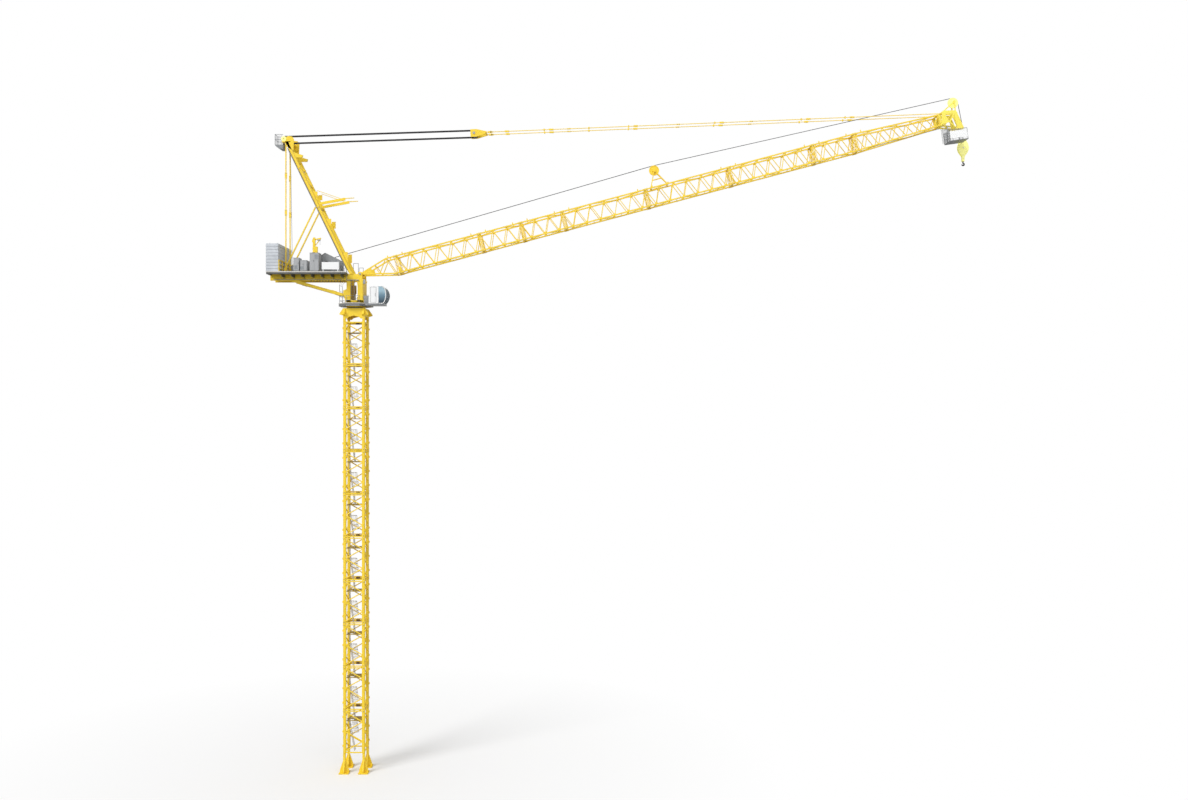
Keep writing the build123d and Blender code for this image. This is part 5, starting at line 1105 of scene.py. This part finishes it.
head_panels = ([0, 1, 8, 6, 5], [6, 7, 4, 5], [1, 11, 9, 7, 8], [7, 9, 4], [9, 10, 2, 3, 4], [1, 2, 10, 11])
head_plates = together(*[plate_pair(head_corners[panel], 0.0905, 0.1012) for panel in head_panels])
# The jib head takes a paler lemon yellow than the rest of the jib.
head_paint = painted_steel("lemon_head_paint", (0.97, 0.82, 0.11, 1), (0.90, 0.70, 0.06, 1))
add_piece("jib_head_side_plates", head_plates, head_paint, "jib")
dress(head_paint, "jib_head")
jib_box = on_jib(blocks((0.44, -0.104, -0.084), (0.478, -0.084, -0.036)))
rounded(add_piece("jib_junction_box", jib_box, yellow, "jib"), 0.002)
cable = on_jib(round_bars((0.36, -0.083, -0.105), (6.93, -0.083, -0.0985), 0.0022, 6))
add_piece("jib_cable", cable, ring_steel, "jib")
bush_radii, bush_levels = [0.0125, 0.0245, 0.0245, 0.0125], [-0.0095, -0.0095, 0.0095, 0.0095]
bushes = together(*[on_jib(turned(bush_radii, bush_levels, (0, y, 0), "y", 32)) for y in jib_side])
add_piece("jib_pivot_bushes", bushes, yellow, "jib")

# Rope sheaves: turned steel wheels with a hub, a bolted web and a grooved rim, yellow halfway along the jib
# and at the nose, pale yellow on top of the jib head.


def wheel(radii, levels, middle, steps):
    """A wheel on an axle along Y, from its profile on one side, which the other side mirrors."""
    radii, levels = np.append(radii, radii[::-1]), np.append(np.negative(levels), levels[::-1])
    return turned(radii, levels, (middle[0], 0, middle[1]), "y", steps)


mid, top, nose = jib_point(3.609, 0.302), jib_point(7.183, 0.167), np.array([7.064507, 7.483370])
bore, hub_half = 0.0101, 0.0098
bolt_turn = 0.4 + full_turn(8)
for name, body, middle, groove, paint, slot in (
    ("mid_sheave", "mid_wheel", mid, 0.054, yellow, "yellow_paint"),
    ("top_sheave", "top_wheel", top, 0.055, pale_yellow_painted_glow, "pale_yellow"),
):
    rim = groove + 0.005
    hub, web = [bore, bore + 0.011, bore + 0.013], [rim - 0.013, rim - 0.009]
    radii = [*hub, *web, rim, rim, groove + 0.0017, groove + 0.0003]
    levels = [hub_half, hub_half, 0.004, 0.004, 0.0072, 0.0072, 0.0038, 0.0024, 0.0011]
    bolts = pins(circle(middle, 0.033, bolt_turn), 0.0058, 0.0026, 6)
    sheave = together(wheel(radii, levels, middle, 56), bolts)
    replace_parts(add_piece(name + "_wheel", sheave, paint, body), name)
nose_radii = [0.0061, 0.0105, 0.012, 0.0225, 0.0225, 0.0193, 0.0182]
nose_wheel = wheel(nose_radii, [0.0085, 0.0085, 0.0072, 0.0072, 0.0036, 0.0022, 0.001], nose, 36)
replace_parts(add_piece("nose_wheel_sheave", nose_wheel, yellow, "nose_wheel"), "nose_sheave")
dress(yellow, "sheave_stand")

# Hoist rope: one bare wire rope from the winch drum over the mid-jib sheave, along the jib, over the head
# and the nose sheave and down to the hook block.


def touch(start, start_radius, end, end_radius):
    """Where a straight rope leaves one wheel and meets the next, on their left from start to end: both
    points lie at the angle of the line of centres plus the arc cosine of the difference of the radii over
    the distance."""
    run = np.subtract(end, start)
    turn = math.atan2(run[1], run[0]) + math.acos((start_radius - end_radius) / np.linalg.norm(run))
    lean = np.array([math.cos(turn), math.sin(turn)])
    return start + start_radius * lean, end + end_radius * lean


def arc(centre, radius, start, end, steps):
    """Points round a centre from one point to another, at equal angles, as rows of x, y = 0 and z."""
    turns = [math.atan2(spot[1] - centre[1], spot[0] - centre[0]) for spot in (start, end)]
    return circle(centre, radius, np.linspace(*turns, steps))


drum_wrap, mid_reach, top_reach, nose_reach, line_radius = 0.0523, 0.0563, 0.0564, 0.0203, 0.0036
drum = np.array(hoist_drum)
back_low, back_high = touch(drum, drum_wrap, mid, mid_reach)
front_low, front_high = touch(mid, mid_reach, top, top_reach)
drop_low, drop_high = touch(top, top_reach, nose, nose_reach)
back_bar = round_bars(at_y(back_low, 0), at_y(back_high, 0), 0.0038)
back_line = add_piece("hoist_back_line", back_bar, bare_wire, "rope_back_run")
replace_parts(back_line, "hoist_rope_back")
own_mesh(back_line)
fall_x, block_top = nose[0] + nose_reach, nose[1] - 0.125
mid_wrap = arc(mid, mid_reach, back_high, front_low, 5)
over_top = arc(top, top_reach, front_high, drop_low, 17)
over_nose = arc(nose, nose_reach, drop_high, (fall_x, nose[1]), 7)
straight = np.linspace(at_y(front_low, 0), over_top[0], 9)
down = np.linspace(over_top[-1], over_nose[0], 5)
front_path = np.concatenate([mid_wrap[:-1], straight, over_top[1:-1], down, over_nose[1:]])
front_bar = bent_bars([front_path], (0, 1, 0), line_radius)
front_line = add_piece("hoist_front_line", front_bar, bare_wire, "jib")
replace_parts(front_line, "hoist_rope_front")
fall_path = rows(fall_x, 0, np.linspace(nose[1], block_top - 0.03, 33))
fall_bar = bent_bars([fall_path], (0, 1, 0), line_radius)
fall_line = add_piece("hoist_fall_line", fall_bar, bare_wire, None)
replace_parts(fall_line, "hoist_fall")
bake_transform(fall_line)

# Tip platform: a galvanised basket on the near side of the jib head for work on its sheaves, with a mesh
# panel and a caged ladder at its rear end, and a bare white board on its outer rail.
dress(open_mesh, "tip_platform")
mesh_wire, mesh_lean, mesh_tall = 0.0009, np.array([-0.0149, 0, 0.124]), np.arange(0.012, 0.122, 0.0125)
mesh_rear = nose + [-0.202, -0.193]
rear_uprights = at_y(mesh_rear, np.arange(-0.233, -0.036, 0.0125))
rear_levels = mesh_rear + mesh_tall[:, None] * [-0.12, 1.0]
side_shares = np.linspace(0.02, 0.98, 18)
side_low = rows(nose[0] - 0.207 + side_shares * 0.214, -0.2335, nose[1] - 0.197 + side_shares * 0.031)
platform_mesh = together(
    round_bars(rear_uprights, rear_uprights + mesh_lean, mesh_wire, 5),
    round_bars(at_y(rear_levels, -0.234), at_y(rear_levels, -0.036), mesh_wire, 5),
    round_bars(side_low, side_low + mesh_lean, mesh_wire, 5),
)
add_piece("platform_mesh", platform_mesh, zinc, "jib")
access_foot, access_side, access_wide, access_deep = 7.285, -0.135, 0.08, 0.065
access_posts = grid(np.linspace(6.830, 6.910, 6), (access_side, -0.07), [access_foot])
rung_z = np.arange(7.297, 7.455, 0.0165)
rung_at = rows(6.830 - (rung_z - access_foot) * 0.135, access_side, rung_z)
access_cage = together(
    round_bars(access_posts, access_posts + [-0.024, 0, 0.178], 0.0013, 6),
    *[
        round_bars(rung_at + shift, rung_at + shift + way, 0.0012, 6)
        for shift, way in (
            ([0, 0, 0], [access_wide, 0, 0]),
            ([0, access_deep, 0], [access_wide, 0, 0]),
            ([0, 0, 0], [0, access_deep, 0]),
            ([access_wide, 0, 0], [0, access_deep, 0]),
        )
    ],
)
add_piece("platform_access_cage", access_cage, basket_metal, "jib")

# Hook block: two pressed teardrop cheeks of pale yellow steel round one sheave, bolted together over their
# spacers, with a forged black hook on a swivel under its neck.
cheek_depth = np.array([0, 0.012, 0.03, 0.055, 0.08, 0.102, 0.125, 0.148, 0.172, 0.192, 0.206, 0.258])
cheek_half = np.array([
    0.0155, 0.028, 0.042, 0.0555, 0.0622, 0.064, 0.061, 0.0525, 0.0365, 0.0215, 0.0145, 0.0130,
])
cheek_edges = [np.stack([fall_x + side * cheek_half, block_top - cheek_depth], 1) for side in (-1, 1)]
cheek_plates = plate_pair(np.concatenate([cheek_edges[0], cheek_edges[1][::-1]]), 0.0125, 0.019)
cheek_piece = add_piece("hook_block_cheeks", cheek_plates, pale_yellow_painted_glow, "hook_block")
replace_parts(rounded(cheek_piece, 0.0022, 3), "hook_block")
wheel_z = block_top - 0.098
inner_wheel = together(
    wheel([0.006, 0.046, 0.046, 0.041], [0.0115, 0.0115, 0.005, 0.002], (fall_x, wheel_z), 48),
    round_bars((fall_x, -0.0225, wheel_z), (fall_x, 0.0225, wheel_z), 0.0085, 14),
)
add_piece("hook_block_sheave", inner_wheel, pin_steel, "hook_block")
spacers = together(
    lumps(rows(fall_x, 0, [block_top - 0.229]), (0.0125, 0.0126, 0.029)),
    lumps(rows(fall_x, 0, [block_top - 0.007]), (0.0125, 0.0126, 0.005)),
)
add_piece("hook_block_spacers", spacers, pale_yellow_painted_glow, "hook_block")
bolt_aside = np.array([-0.028, 0.028, -0.033, 0.033, 0, 0])
bolt_depth = np.array([0.05, 0.05, 0.14, 0.14, 0.19, 0.225])
block_bolts = pins(rows(fall_x + bolt_aside, 0, block_top - bolt_depth), 0.0212, 0.0034, 6)
add_piece("hook_block_bolts", block_bolts, pin_steel, "hook_block")
tackle_black = painted_steel(
    "black_tackle_enamel", (0.012, 0.012, 0.013, 1), (0.03, 0.03, 0.03, 1), gloss=0.4
)
shank_top, hook_radius, hook_steps = block_top - 0.2583, 0.0135, 25
crook = shank_top - 0.031
sweep = np.radians(np.linspace(90, -170, hook_steps))[:, None]
thick = 0.005 + 0.0038 * np.sin(np.linspace(0, np.pi, hook_steps))[:, None, None] ** 0.8
section_turn = full_turn(12)
section = np.cos(section_turn)[:, None] * circle((0, 0), 1, sweep) + np.sin(section_turn)[:, None] * [0, 1, 0]
hook_shape = together(
    skins((circle((fall_x, crook), hook_radius, sweep) + thick * section)[None]),
    round_bars((fall_x, 0, shank_top), (fall_x, 0, crook + 0.0105), 0.0058, 14),
    turned(
        [0.004, 0.0095, 0.0105, 0.0105, 0.0095, 0.004],
        [0, 0, 0.0015, 0.0055, 0.007, 0.007],
        (fall_x, 0, shank_top - 0.007), "z", 24,
    ),
    round_bars((fall_x + 0.001, 0, crook + 0.011), (fall_x - 0.0125, 0, crook - 0.001), 0.0014),
)
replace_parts(add_piece("forged_hook", hook_shape, tackle_black, "hook"), "hook")
